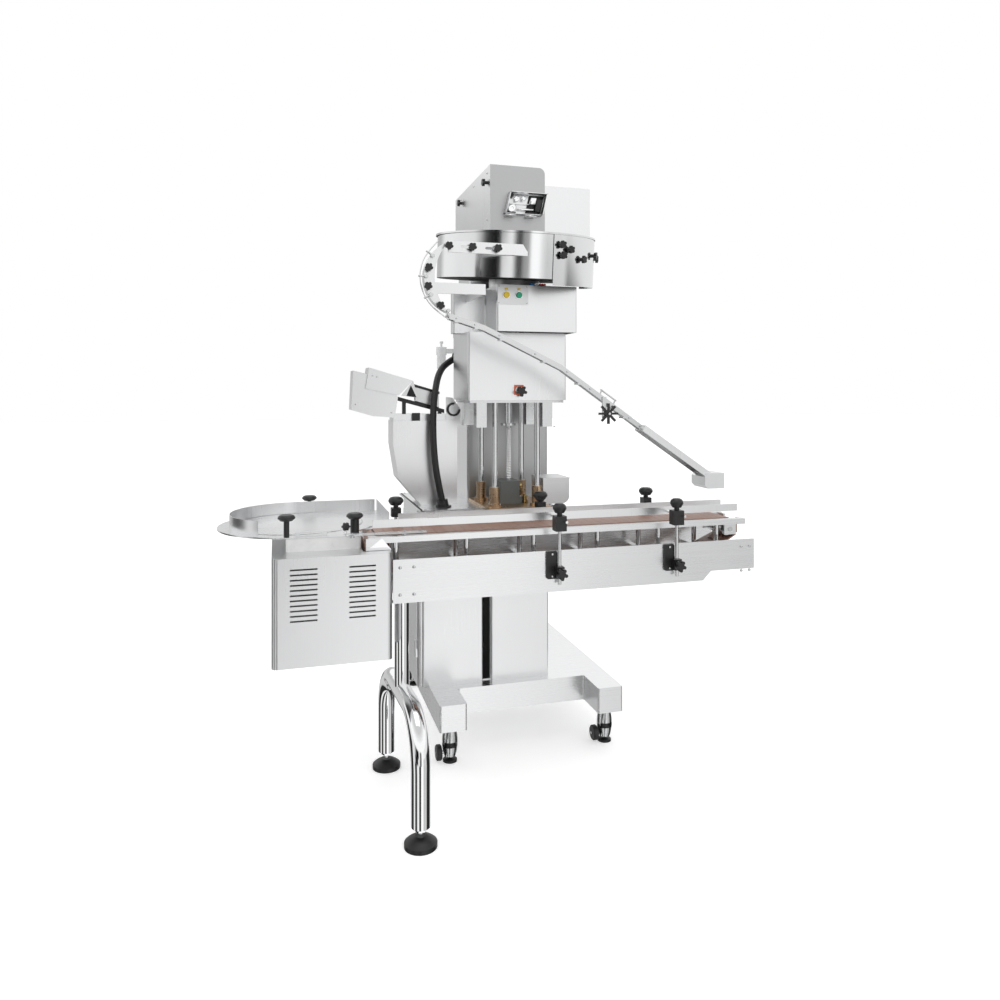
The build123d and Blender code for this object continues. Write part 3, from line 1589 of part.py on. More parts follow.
# Fence round the back of the disc, a wall along the back and down the right, a slotted bar in front
with BuildPart() as table_fence:
    wall_length = rear_guide_x - table_x
    with BuildSketch(Plane(origin=(table_x, table_y, tray_top))):
        with BuildLine():
            arc_wall(fence_radius, fence_thickness, fence_start, fence_end)
        make_face()
        with Locations(((wall_length - fence_slit) / 2, fence_radius - fence_thickness / 2)):
            Rectangle(wall_length - fence_slit, fence_thickness)
        with Locations((wall_length - fence_thickness / 2, (back_wall_y + side_apron_front) / 2 - table_y)):
            Rectangle(fence_thickness, back_wall_y - side_apron_front)
    extrude(amount=fence_height)
    with Locations((table_x + front_bar_shift, table_y - front_bar_reach, tray_top)):
        Box(front_bar_length, front_bar_thickness, front_bar_height, align=base)
    with BuildSketch(Plane.XZ.offset(front_bar_reach + front_bar_thickness - table_y)):
        with Locations((table_x + front_bar_shift, tray_top + front_bar_height / 2)):
            SlotOverall(front_bar_length * 0.7, front_bar_height * 0.4)
    extrude(amount=-2 * front_bar_thickness, mode=Mode.SUBTRACT)
table_fence.part.label = "table_fence"

# Feeder on its folded stand
with BuildPart() as feeder_stand:
    for inset, opening in ((0, Mode.ADD), (thin_sheet, Mode.SUBTRACT)):
        with BuildSketch(Plane.XZ.offset(-(stand_front + inset))):
            with BuildLine():
                Polyline(
                    (stand_right, deck_top),
                    (stand_right - 132, deck_top),
                    (stand_right - 212, deck_top + 96),
                    (stand_right - 232, deck_top + 218),
                    (stand_right - 232, stand_top),
                    (stand_right, stand_top),
                    close=True,
                )
            make_face()
            if inset:
                offset(amount=-inset, mode=Mode.REPLACE)
        extrude(amount=-(stand_depth - 2 * inset), mode=opening)
feeder_stand.part.label = "feeder_stand"

with BuildPart() as feeder_box:
    with BuildSketch(Plane.XZ.offset(-stand_front)):
        with BuildLine():
            Polyline(
                (stand_right - 378, 1180),
                (stand_right - 372, 1318),
                (stand_right - 328, 1308),
                (stand_right - 215, 1227),
                (stand_right - 226, 1152),
                (stand_right - 303, 1158),
                close=True,
            )
        make_face()
    extrude(amount=-100)
    with BuildSketch(Plane.XZ.offset(-(stand_front - 10))):
        with BuildLine():
            Polyline(
                (stand_right - 318, 1329),
                (stand_right - 163, 1283),
                (stand_right - 213, 1231),
                (stand_right - 330, 1256),
                close=True,
            )
        make_face()
    extrude(amount=-110)
    with BuildSketch(Plane.XZ.offset(-(stand_front + 10))):
        with Locations((stand_right - 132, stand_top + 12)):
            Rectangle(196, 24)
    extrude(amount=-100)
    with BuildSketch(Plane.XZ.offset(-(stand_front + 6))):
        with BuildLine():
            Polyline(
                (stand_right - 40, 1225),
                (stand_right - 16, 1222),
                (stand_right + 14, 1180),
                (stand_right + 14, stand_top - 12),
                (stand_right + 1, stand_top - 12),
                (stand_right + 1, stand_top),
                (stand_right - 40, stand_top),
                close=True,
            )
        make_face()
    extrude(amount=-4)
feeder_box.part.label = "feeder_box"

with BuildPart() as feeder_rail:
    with BuildSketch(Plane.XZ.offset(-(stand_front + 16))):
        with BuildLine():
            Polyline(
                (stand_right - 213, 1226), (stand_right - 44, 1180), (stand_right - 44, 1166),
                (stand_right - 213, 1212), close=True,
            )
        make_face()
    extrude(amount=-20)
    for x, top in ((stand_right - 60, 1176), (stand_right - 190, 1212)):
        with BuildSketch(Plane.XZ.offset(-(stand_front + 18))):
            with Locations((x, (stand_top + 24 + top) / 2)):
                Rectangle(12, top - stand_top - 24)
        extrude(amount=-16)
    with BuildSketch(Plane.XZ.offset(-(stand_front + 10))):
        with Locations((stand_right - 150, stand_top + 14)):
            Rectangle(28, 28)
    extrude(amount=10)
    with BuildSketch(Plane.XZ.offset(-(stand_front + 6))):
        with Locations((stand_right - 13, 1180)):
            Circle(25)
            Circle(18, mode=Mode.SUBTRACT)
            with Locations((18, 12)):
                Rectangle(30, 24, mode=Mode.SUBTRACT)
    extrude(amount=8)
feeder_rail.part.label = "feeder_rail"

# Conduit from a gland on the deck, past the feeder and behind the head to a gland on the mast
hose_route = [
    Vector(-101, -10, 862),
    Vector(-114, -8, 922),
    Vector(-125, 0, 1003),
    Vector(-129, 9, 1095),
    Vector(-125, 24, 1190),
    Vector(-112, 45, 1262),
    Vector(-94, 84, 1308),
    Vector(-62, 125, 1346),
    Vector(-12, 157, 1372),
]
hose_radii = []
for before, corner, after in zip(hose_route, hose_route[1:], hose_route[2:]):
    half_turn = radians((corner - before).get_angle(after - corner)) / 2
    hose_radii.append(0.45 * min((corner - before).length, (after - corner).length) / tan(half_turn))
print("conduit radii", [round(radius) for radius in hose_radii])
with BuildPart() as hose:
    with BuildLine() as hose_path:
        FilletPolyline(*hose_route, radius=hose_radii)
    with BuildSketch(Plane(origin=hose_route[0], z_dir=hose_route[1] - hose_route[0])):
        Circle(hose_radius)
    sweep(path=hose_path.line)
print("conduit volume share", round(hose.part.volume / (pi * hose_radius**2 * hose_path.wire().length), 4))
hose.part.label = "hose"

with BuildPart() as hose_glands:
    for mouth, inward, face in (
        (hose_route[0], hose_route[0] - hose_route[1], Plane.XY.offset(deck_top)),
        (hose_route[-1], hose_route[-1] - hose_route[-2], Plane.YZ.offset(mast_left).reverse()),
    ):
        reach = (face.origin - mouth).dot(face.z_dir) / inward.normalized().dot(face.z_dir)
        seat = mouth + inward.normalized() * reach
        with BuildSketch(Plane(origin=mouth, z_dir=inward)):
            Circle(gland_radius)
        extrude(amount=reach + gland_radius)
        with BuildSketch(Plane(origin=mouth, z_dir=inward)):
            Circle(gland_radius - 4)
        extrude(amount=reach + gland_radius, mode=Mode.SUBTRACT)
        with BuildSketch(Plane(origin=mouth, z_dir=inward)):
            Circle(gland_radius)
        extrude(amount=reach + gland_radius)
        with BuildSketch(Plane(origin=seat, z_dir=face.z_dir)):
            Circle(gland_radius + 8)
        extrude(amount=5)
        split(bisect_by=face, keep=Keep.TOP)
hose_glands.part.label = "hose_glands"

# Air filter with its valve, on an arm from the mast
with BuildPart() as filter_unit:
    with BuildSketch(Plane.XZ.offset(-filter_y)):
        with BuildLine():
            Polyline(
                (filter_x, filter_bottom),
                (filter_x + filter_radius * 0.5, filter_bottom),
                (filter_x + filter_radius, filter_bottom + 12),
                (filter_x + filter_radius, filter_bottom + filter_height),
                (filter_x + filter_radius + 3, filter_bottom + filter_height),
                (filter_x + filter_radius + 3, filter_bottom + filter_height + filter_cap_height),
                (filter_x + 4, filter_bottom + filter_height + filter_cap_height),
                (filter_x + 4, filter_bottom + filter_height + filter_cap_height + 14),
                (filter_x + 7, filter_bottom + filter_height + filter_cap_height + 14),
                (filter_x + 7, filter_bottom + filter_height + filter_cap_height + 22),
                (filter_x, filter_bottom + filter_height + filter_cap_height + 22),
                close=True,
            )
        make_face()
    revolve(axis=Axis((filter_x, filter_y, 0), (0, 0, 1)))
    with BuildSketch(Plane.YZ.offset(mast_left)):
        with Locations((filter_y, filter_bottom + filter_height + filter_cap_height / 2)):
            Rectangle(8, 18)
    extrude(amount=filter_x - mast_left)
filter_unit.part.label = "filter_unit"

# Guide bar across the bowl's front, spaced off the bowl wall
bar_z = bowl_level + 57
with BuildPart() as bowl_envelope:
    with BuildSketch(bowl_plane):
        Circle(bowl_radius + slip)
    extrude(amount=bowl_height)
with BuildPart() as bowl_bar:
    with BuildSketch(Plane.XZ.offset(-chute_front)):
        with Locations(((crescent_top[0] - 5 + bowl_x - 40) / 2, bar_z)):
            Rectangle(bowl_x - 40 - crescent_top[0] + 5, 36)
        with Locations((crescent_top[0] + 60, bar_z), (crescent_top[0] + 140, bar_z)):
            SlotOverall(50, 8, mode=Mode.SUBTRACT)
    extrude(amount=4)
    with BuildSketch(Plane.XZ.offset(-chute_front)):
        with Locations((bowl_x - 55, bar_z)):
            Rectangle(20, 20)
    extrude(amount=-40)
    add(bowl_envelope.part, mode=Mode.SUBTRACT)

# Knobs on fixed parts and on the head
bush_knob_plane = facing(
    (lift_x + post_pitch_x / 2, lift_y - post_pitch_y / 2 - bush_radius, wear_top + 26), (0, -1, 0)
)
with BuildPart() as frame_knobs:
    for shift, reach, height, stem_radius in (
        (-38, -227, 64, mushroom_stem_radius),
        (44, 224, 58, mushroom_stem_radius - 2),
        (158, -205, 58, mushroom_stem_radius + 5),
    ):
        with Locations(facing((table_x + shift, table_y + reach, tray_top), (0, 0, 1))):
            add(mushroom_knob(mushroom_radius + 5, height, height - mushroom_cap, stem_radius))
    with Locations(bush_knob_plane):
        add(star_knob(star_radius - 3, star_height - 2, 10))
frame_knobs.part.label = "frame_knobs"

head_knob_planes = [
    facing((crescent_top[0] - shift, chute_front, crescent_top[1] - drop), (0, -1, 0))
    for shift, drop in ((67, 85), (69, 143), (30, 202))
]
for shift in (-4, 71, 154):
    head_knob_planes.append(facing((crescent_top[0] + shift, chute_front - 4, bar_z), (0, -1, 0)))
for angle, level in ((-75, 112), (-68, 98), (-74, 78), (-55, 70), (-36, 88), (-14, 84)):
    outward = bowl_plane.x_dir * cos(radians(angle)) + bowl_plane.y_dir * sin(radians(angle))
    head_knob_planes.append(
        facing(
            bowl_plane.origin + outward * (guard_inner + thin_sheet) + bowl_plane.z_dir * level, outward
        )
    )
for depth, level in ((42, machine_height - 54), (425, machine_height - 38)):
    head_knob_planes.append(facing((top_box_left, top_box_front + depth, level), (-1, 0, 0)))
with BuildPart() as head_knobs:
    with Locations(*head_knob_planes):
        add(star_knob(star_radius - 4, star_height - 3, 9))
head_knobs.part.label = "head_knobs"


def group(label, *parts):
    """Pieces that share one file and stay separate solids."""
    return Compound(label=label, children=list(parts))


pieces = [
    base_frame.part, castor_housings.part, castor_feet.part, *castor_wheels,
    group("base_column", base_column.part, column_panels.part),
    side_door.part, door_lock.part, deck_plate.part,
    wear_plate.part, guide_posts.part, post_bushes.part, lift_gearbox.part, gearbox_shaft.part,
    lead_screw.part, mast.part, sensor_housing.part, head_box.part, head_plate.part,
    lift_nut.part, head_knob.part, group("upper_housing", upper_housing.part, bowl_pedestal.part),
    control_panel.part, *buttons, bowl_shell.part, bowl_disc.part, bowl_guard.part,
    rear_tower.part, top_box.part,
    group("cap_drop", cap_drop.part, chute_bar.part, bowl_bar.part),
    group("chute_rails", chute_rails.part, wheel_bracket.part),
    group("cap_trough", cap_trough.part, cap_head.part),
    star_wheel.part,
    group("conveyor_frame", conveyor_frame.part, conveyor_arms.part),
    group("conveyor_bed", conveyor_bed.part, bed_supports.part),
    slat_chain.part, *rollers,
    group("stand_tube", stand_tube.part, stand_studs.part),
    stand_feet.part, front_posts.part,
    front_rail.part, rear_rail.part, rail_clamps.part, drive_cabinet.part, table_frame.part,
    table_tray.part, turntable_disc.part, table_fence.part, feeder_stand.part, feeder_box.part,
    feeder_rail.part, hose.part, hose_glands.part, filter_unit.part, frame_knobs.part,
    head_knobs.part,
]
for piece in pieces:
    export_step(piece, "parts/" + piece.label + ".step")
print(len(pieces), "nodes")
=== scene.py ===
"""Rotary capping machine: finishes, light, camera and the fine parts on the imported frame."""
import json
from math import cos, pi, radians, sin

import bmesh
import bpy
from mathutils import Matrix, Vector


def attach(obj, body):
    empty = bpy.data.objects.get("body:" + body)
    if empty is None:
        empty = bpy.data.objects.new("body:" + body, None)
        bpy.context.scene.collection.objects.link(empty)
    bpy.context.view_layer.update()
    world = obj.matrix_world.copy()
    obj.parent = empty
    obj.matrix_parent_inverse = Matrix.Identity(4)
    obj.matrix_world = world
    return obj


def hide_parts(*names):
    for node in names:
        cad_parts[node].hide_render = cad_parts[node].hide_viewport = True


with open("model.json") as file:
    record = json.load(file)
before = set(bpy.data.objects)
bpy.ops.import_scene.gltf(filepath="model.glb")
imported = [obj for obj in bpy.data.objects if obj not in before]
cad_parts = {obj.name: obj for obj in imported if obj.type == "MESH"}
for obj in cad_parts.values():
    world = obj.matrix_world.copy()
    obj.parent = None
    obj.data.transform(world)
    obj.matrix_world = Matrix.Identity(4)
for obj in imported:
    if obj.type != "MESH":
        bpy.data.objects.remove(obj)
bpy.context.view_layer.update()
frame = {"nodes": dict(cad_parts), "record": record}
nodes = frame["nodes"]
slots = {entry["node"]: entry["material_slot"] for entry in frame["record"]["subparts"]}

MM = 0.001


# Shader expressions

class Channel:
    """A socket in a node tree, so that sums and products on it add Math nodes."""

    def __init__(self, tree, socket):
        self.tree = tree
        self.socket = socket

    def _math(self, operation, first, second):
        node = self.tree.nodes.new("ShaderNodeMath")
        node.operation = operation
        for slot, value in zip(node.inputs, (first, second)):
            if isinstance(value, Channel):
                self.tree.links.new(value.socket, slot)
            else:
                slot.default_value = value
        return Channel(self.tree, node.outputs[0])

    def __add__(self, other):
        return self._math("ADD", self, other)

    def __radd__(self, other):
        return self._math("ADD", other, self)

    def __sub__(self, other):
        return self._math("SUBTRACT", self, other)

    def __rsub__(self, other):
        return self._math("SUBTRACT", other, self)

    def __mul__(self, other):
        return self._math("MULTIPLY", self, other)

    def __rmul__(self, other):
        return self._math("MULTIPLY", other, self)

    def clipped(self, low, high):
        return self._math("MINIMUM", self._math("MAXIMUM", self, low), high)

    def around(self, other):
        """The turn, in radians, of the direction whose parts are other and self."""
        return self._math("ARCTAN2", self, other)

    def beside(self, output):
        """Another output of the same node."""
        return Channel(self.tree, self.socket.node.outputs[output])


class Nodes:
    """A node tree with one method that adds any node."""

    def __init__(self, tree):
        self.tree = tree

    def node(self, kind, settings=None, inputs=None, output=0):
        """Adds one node, its settings first, and returns one of its outputs."""
        node = self.tree.nodes.new(kind)
        for key, value in (settings or {}).items():
            if key == "stops":
                self.lay_stops(node.color_ramp.elements, value)
            else:
                setattr(node, key, value)
        for key, value in (inputs or {}).items():
            self.feed(node.inputs[key], value)
        return Channel(self.tree, node.outputs[output])

    def feed(self, socket, value):
        if isinstance(value, Channel):
            self.tree.links.new(value.socket, socket)
        else:
            socket.default_value = value

    @staticmethod
    def lay_stops(elements, stops):
        while len(elements) > 1:
            elements.remove(elements[-1])
        for index, (place, tone) in enumerate(stops):
            stop = elements.new(place) if index else elements[0]
            stop.position = place
            stop.color = (tone, tone, tone, 1.0)

    def mixed(self, mask, first, second):
        inputs = {0: mask, 6: first, 7: second}
        return self.node("ShaderNodeMix", {"data_type": "RGBA"}, inputs, output=2)


class Finish(Nodes):
    """One material, with its Principled shader and the nodes that vary it."""

    def __init__(self, name, color, roughness, metallic=0.0):
        self.material = bpy.data.materials.new(name)
        self.material.use_nodes = True
        super().__init__(self.material.node_tree)
        self.shader = self.tree.nodes["Principled BSDF"]
        self.set("Base Color", (*color, 1.0))
        self.set("Roughness", roughness)
        self.set("Metallic", metallic)
        self.place = self.node("ShaderNodeTexCoord", output="Object")

    def set(self, socket, value):
        self.feed(self.shader.inputs[socket], value)

    def noise(self, scale, detail=3.0, stretch=(1, 1, 1), rough=0.6):
        place = self.node("ShaderNodeMapping", inputs={"Vector": self.place, "Scale": stretch})
        inputs = {"Vector": place, "Scale": scale, "Detail": detail, "Roughness": rough}
        return self.node("ShaderNodeTexNoise", inputs=inputs)

    def bump(self, height, strength, distance):
        inputs = {"Height": height, "Strength": strength, "Distance": distance}
        self.set("Normal", self.node("ShaderNodeBump", inputs=inputs))

    def tone(self, mask, first, second):
        """Base Color between two colours by a mask."""
        self.set("Base Color", self.mixed(mask, (*first, 1.0), (*second, 1.0)))


def shade(color, share):
    return tuple(part * share for part in color)


# Camera, and the conduit that its view has to hold

eye = (-0.662, -2.710, 1.250)
yaw = radians(16)
focal_share = 0.78
horizon_drop = 0.11
camera_data = bpy.data.cameras.new("camera")
camera_data.lens = focal_share * camera_data.sensor_width
camera_data.shift_y = -horizon_drop
camera = bpy.data.objects.new("camera", camera_data)
camera.location = eye
camera.rotation_euler = (pi / 2, 0, -yaw)
bpy.context.scene.collection.objects.link(camera)
bpy.context.scene.camera = camera
bpy.context.scene.view_settings.view_transform = "Standard"


def smooth_line(name, points, thickness):
    """A round tube along a smooth spline whose control points are given in metres."""
    data = bpy.data.curves.new(name, "CURVE")
    data.dimensions = "3D"
    data.bevel_depth = 1.0
    data.bevel_resolution = 5
    data.resolution_u = 12
    data.use_fill_caps = True
    spline = data.splines.new("NURBS")
    spline.points.add(len(points) - 1)
    for point, place in zip(spline.points, points):
        point.co = (*place, 1.0)
        point.radius = thickness / 2
    spline.order_u = 3
    spline.use_endpoint_u = True
    piece = bpy.data.objects.new(name, data)
    bpy.context.scene.collection.objects.link(piece)
    return piece


hose_route = [
    (-0.101, -0.010, 0.862),
    (-0.114, -0.008, 0.922),
    (-0.125, 0.000, 1.003),
    (-0.129, 0.009, 1.095),
    (-0.125, 0.024, 1.190),
    (-0.112, 0.045, 1.262),
    (-0.094, 0.084, 1.308),
    (-0.062, 0.125, 1.346),
    (-0.012, 0.157, 1.372),
]
hose_thickness = 0.024
conduit = smooth_line("conduit", hose_route, hose_thickness)
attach(conduit, "frame")
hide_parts("hose")


# Finishes

def brushed(name, color, roughness, grain, depth=0.1):
    """Sheet steel with its brush lines along one axis."""
    finish = Finish(name, color, roughness, metallic=1.0)
    lines = finish.noise(1.0, 4.0, tuple(3 if axis == grain else 420 for axis in "xyz"), 0.7)
    clouds = finish.noise(3.5, 2.0)
    finish.tone(lines * 0.6 + clouds * 0.4, shade(color, 0.93), shade(color, 1.05))
    finish.set("Roughness", roughness + (lines - 0.5) * 0.14 + (clouds - 0.5) * 0.1)
    finish.bump(lines, depth, 0.0002)
    return finish.material


def turned(name, color, roughness, pitch=900):
    """Bars and turned parts with fine rings up their height."""
    finish = Finish(name, color, roughness, metallic=1.0)
    rings = finish.noise(1.0, 3.0, (6, 6, pitch))
    marks = finish.noise(40.0, 4.0)
    finish.tone(rings * 0.5 + marks * 0.5, shade(color, 0.88), shade(color, 1.05))
    finish.set("Roughness", roughness + (rings - 0.5) * 0.12 + (marks - 0.5) * 0.1)
    finish.bump(rings, 0.06, 0.0001)
    return finish.material


def moulded(name, color, roughness, grain, depth=0.25):
    """Moulded plastic, rubber or paint with a fine skin."""
    finish = Finish(name, color, roughness)
    skin = finish.noise(grain, 2.0)
    dust = finish.noise(25.0, 4.0)
    finish.tone(dust, shade(color, 0.85), shade(color, 1.15))
    finish.set("Roughness", roughness + (dust - 0.5) * 0.2)
    finish.bump(skin, depth, 0.0002)
    return finish.material


def clear(name, color, opacity):
    """Clear plastic that shows what is behind it."""
    finish = Finish(name, color, 0.08)
    haze = finish.noise(30.0, 3.0)
    finish.tone(haze, shade(color, 0.92), shade(color, 1.05))
    finish.set("Alpha", opacity + (haze - 0.5) * 0.12)
    return finish.material


steel = (0.80, 0.805, 0.81)
finishes = {
    "upright": brushed("upright_brushed_sheet", steel, 0.30, "z"),
    # cover is a darker copy of the same steel for faces that look to the front: painted shade
    "cover": brushed("painted_shade_front_sheet", shade(steel, 0.62), 0.42, "z"),
    "satin": brushed("satin_sheet", shade(steel, 0.95), 0.40, "x"),
    "level": brushed("level_brushed_sheet", steel, 0.28, "x"),
    "spun": brushed("spun_bowl_sheet", steel, 0.13, "z", 0.05),
    "chrome": turned("ground_bar", (0.86, 0.865, 0.87), 0.07),
    "steel": turned("turned_steel", (0.66, 0.665, 0.67), 0.25, 500),
    "bronze": turned("turned_bronze", (0.60, 0.43, 0.28), 0.28, 500),
    "brass": turned("turned_brass", (0.70, 0.55, 0.27), 0.25, 500),
    "slats": moulded("slat_plastic", (0.34, 0.20, 0.155), 0.42, 500),
    "white": moulded("white_strip", (0.86, 0.86, 0.855), 0.3, 600, 0.1),
    "black": moulded("black_moulding", (0.012, 0.012, 0.013), 0.38, 900, 0.2),
    "rubber": moulded("black_rubber", (0.010, 0.010, 0.010), 0.42, 700, 0.4),
    "casting": moulded("grey_casting", (0.14, 0.15, 0.147), 0.5, 350, 0.5),
    "clear": clear("clear_plastic", (0.72, 0.74, 0.75), 0.45),
    "yellow": moulded("yellow_cap", (0.85, 0.60, 0.03), 0.3, 500, 0.05),
    "green": moulded("green_cap", (0.01, 0.40, 0.22), 0.3, 500, 0.05),
    "red": moulded("red_plastic", (0.42, 0.03, 0.03), 0.35, 500, 0.05),
    "orange": moulded("orange_plate", (0.72, 0.14, 0.06), 0.35, 500, 0.05),
    "blue": moulded("blue_plastic", (0.03, 0.16, 0.45), 0.35, 500, 0.05),
    "tag": moulded("bare_yellow_tag", (0.80, 0.55, 0.04), 0.4, 500, 0.05),
    # shadow_gap is a near-black finish for painted shade, under the bowl and in the feeder lip's opening
    "shadow_gap": moulded("painted_shade_dark", (0.008, 0.008, 0.009), 0.7, 700, 0.2),
}
slot_finish = {
    "polished_sheet": "upright", "satin_sheet": "satin", "chrome_bar": "chrome", "steel_parts": "steel",
    "bronze": "bronze", "slats": "slats", "white_strip": "white", "black_plastic": "black",
    "black_rubber": "rubber", "grey_casting": "casting", "filter_plastic": "clear",
    "yellow_cap": "yellow", "green_cap": "green",
}
finish_slot = {kind: slot for slot, kind in slot_finish.items()}
finish_slot.update(
    level="polished_sheet", cover="polished_sheet", spun="polished_sheet",
    brass="bronze", shadow_gap="black_plastic",
)


def paint(node, *kinds, choose=None):
    """Gives a CAD node its finishes. With several, choose names one for each face by its middle in mm."""
    mesh = nodes[node].data
    mesh.materials.clear()
    for kind in kinds:
        mesh.materials.append(finishes[kind])
    if choose:
        for face in mesh.polygons:
            face.material_index = kinds.index(choose(face.center / MM, face.normal))


for node in nodes:
    paint(node, slot_finish[slots[node]])
for node in ("conveyor_frame", "base_frame", "deck_plate", "table_tray", "turntable_disc"):
    paint(node, "level")
for node in ("bowl_disc", "bowl_guard"):
    paint(node, "spun")
# The bowl's faces that look down get the near-black finish: painted shade under the bowl
paint("bowl_shell", "spun", "shadow_gap", choose=lambda _, out: "shadow_gap" if out.z < -0.8 else "spun")
# The faces of the top box and mast that look to the front get the darker copy of the steel: painted shade
for node in ("top_box", "mast"):
    paint(node, "upright", "cover", choose=lambda _, out: "cover" if out.y < -0.8 else "upright")
paint("gearbox_shaft", "bronze")

# Where a node's blocks or bars end and its bright rods begin
block_bottom = 826.8
bar_front = -411.2
bar_back = -302.5
strip_bottom = 804.9
paint("front_posts", "black", "chrome", choose=lambda at, _: "black" if at.z > block_bottom else "chrome")
paint("front_rail", "upright", "chrome", choose=lambda at, _: "chrome" if at.y < bar_front else "upright")
paint("rear_rail", "upright", "chrome", choose=lambda at, _: "chrome" if at.y > bar_back else "upright")
paint("conveyor_bed", "level", "chrome", choose=lambda at, _: "chrome" if at.z < strip_bottom else "level")


# Forms in millimetres, put together with mesh operators

sharp_turn = 0.6
smooth_turn = radians(35)


class Shape:
    """A mesh in the making. Each method adds one form and returns its vertices."""

    def __init__(self):
        self.mesh = bmesh.new()

    def _round(self, verts, width, segments=2):
        """Bevels the sharp edges between some vertices."""
        inside = set(verts)
        own = [edge for edge in self.mesh.edges if inside.issuperset(edge.verts)]
        edges = [edge for edge in own if edge.calc_face_angle(0) > sharp_turn]
        if width and edges:
            bmesh.ops.bevel(
                self.mesh, geom=edges, offset=width, segments=segments, profile=0.5,
                affect="EDGES", material=-1, clamp_overlap=True,
            )

    def _upright(self, at, axis):
        """The matrix that stands a form's own Z along an axis at a place."""
        turn = Vector(axis).to_track_quat("Z", "Y").to_matrix().to_4x4()
        return Matrix.Translation(at) @ turn

    def block(self, low, high, round_by=0.5):
        low, high = Vector(low), Vector(high)
        made = bmesh.ops.create_cube(self.mesh, size=1.0)["verts"]
        bmesh.ops.scale(self.mesh, vec=high - low, verts=made)
        bmesh.ops.translate(self.mesh, vec=(low + high) / 2, verts=made)
        self._round(made, round_by)

    def prism(self, corners, front, back):
        """A plate between two depths, with an outline of (x, z) corners."""
        made = [self.mesh.verts.new((x, front, z)) for x, z in corners]
        grown = bmesh.ops.extrude_face_region(self.mesh, geom=[self.mesh.faces.new(made)])["geom"]
        risen = [part for part in grown if isinstance(part, bmesh.types.BMVert)]
        bmesh.ops.translate(self.mesh, vec=(0, back - front, 0), verts=risen)
        faces = list({face for vert in made + risen for face in vert.link_faces})
        bmesh.ops.recalc_face_normals(self.mesh, faces=faces)
        self._round(made + risen, 0.3, 1)

    def rod(self, start, end, radius, segments=24, round_by=0.0):
        start, end = Vector(start), Vector(end)
        made = bmesh.ops.create_cone(
            self.mesh, cap_ends=True, segments=segments, radius1=radius, radius2=radius,
            depth=(end - start).length,
        )["verts"]
        bmesh.ops.transform(self.mesh, matrix=self._upright((start + end) / 2, end - start), verts=made)
        self._round(made, round_by)

    def lathe(self, outline, at, axis=(0, 0, 1), steps=28):
        """Spins an outline of (radius, height) points round an axis."""
        points = [self.mesh.verts.new((radius, 0, height)) for radius, height in outline]
        lines = [self.mesh.edges.new(pair) for pair in zip(points, points[1:])]
        before = set(self.mesh.verts) - set(points)
        bmesh.ops.spin(
            self.mesh, geom=points + lines, cent=(0, 0, 0), axis=(0, 0, 1),
            angle=2 * pi, steps=steps, use_merge=True, use_duplicate=False,
        )
        made = [vert for vert in self.mesh.verts if vert not in before]
        bmesh.ops.remove_doubles(self.mesh, verts=made, dist=0.001)
        made = [vert for vert in self.mesh.verts if vert not in before]
        faces = list({face for vert in made for face in vert.link_faces})
        bmesh.ops.recalc_face_normals(self.mesh, faces=faces)
        bmesh.ops.transform(self.mesh, matrix=self._upright(at, axis), verts=made)

    def bolt(self, at, axis, size):
        """A hexagon head on its washer."""
        at, axis = Vector(at), Vector(axis).normalized()
        seat = at + axis * 0.25 * size
        self.rod(at, seat, size * 1.15, segments=20, round_by=0.1 * size)
        self.rod(seat, seat + axis * size * 0.62, size * 0.92, segments=6, round_by=0.1 * size)

    def star_knob(self, at, axis, radius, thickness, stem, lobes=6):
        """A lobed clamping knob on a round stem."""
        at, axis = Vector(at), Vector(axis).normalized()
        self.rod(at, at + axis * (stem + 1), radius * 0.4, segments=20)
        disc = bmesh.ops.create_circle(self.mesh, cap_ends=True, segments=lobes * 8, radius=radius)["verts"]
        for vert in disc:
            turn = Vector((vert.co.x, vert.co.y)).angle_signed(Vector((1, 0)), 0)
            vert.co *= 0.88 + 0.12 * cos(lobes * turn)
        face = next(face for face in disc[0].link_faces)
        grown = bmesh.ops.extrude_face_region(self.mesh, geom=[face])["geom"]
        risen = [part for part in grown if isinstance(part, bmesh.types.BMVert)]
        bmesh.ops.translate(self.mesh, vec=(0, 0, thickness), verts=risen)
        whole = disc + risen
        faces = list({face for vert in whole for face in vert.link_faces})
        bmesh.ops.recalc_face_normals(self.mesh, faces=faces)
        bmesh.ops.transform(self.mesh, matrix=self._upright(at + axis * stem, axis), verts=whole)
        self._round(whole, 1.2)

    def holed_plate(self, at, axis, half, hole, thickness):
        """A square plate with a round hole."""
        count = 32
        inner = bmesh.ops.create_circle(self.mesh, segments=count, radius=hole)["verts"]
        outer = bmesh.ops.create_circle(self.mesh, segments=count, radius=half)["verts"]
        for vert in outer:
            vert.co *= half / max(abs(vert.co.x), abs(vert.co.y))
        rims = list({edge for vert in inner + outer for edge in vert.link_edges})
        faces = bmesh.ops.bridge_loops(self.mesh, edges=rims)["faces"]
        grown = bmesh.ops.extrude_face_region(self.mesh, geom=faces)["geom"]
        risen = [part for part in grown if isinstance(part, bmesh.types.BMVert)]
        bmesh.ops.translate(self.mesh, vec=(0, 0, thickness), verts=risen)
        whole = inner + outer + risen
        faces = list({face for vert in whole for face in vert.link_faces})
        bmesh.ops.recalc_face_normals(self.mesh, faces=faces)
        bmesh.ops.transform(self.mesh, matrix=self._upright(at, axis), verts=whole)

    def helix(self, outline, bottom, pitch, turns, steps=18):
        """Winds an outline of (radius, height) points up the Z axis."""
        points = [self.mesh.verts.new((radius, 0, bottom + height)) for radius, height in outline]
        lines = [self.mesh.edges.new(pair) for pair in zip(points, points[1:])]
        bmesh.ops.spin(
            self.mesh, geom=points + lines, cent=(0, 0, 0), axis=(0, 0, 1), dvec=(0, 0, pitch / steps),
            angle=2 * pi * turns, steps=steps * turns, use_merge=False, use_duplicate=False,
        )


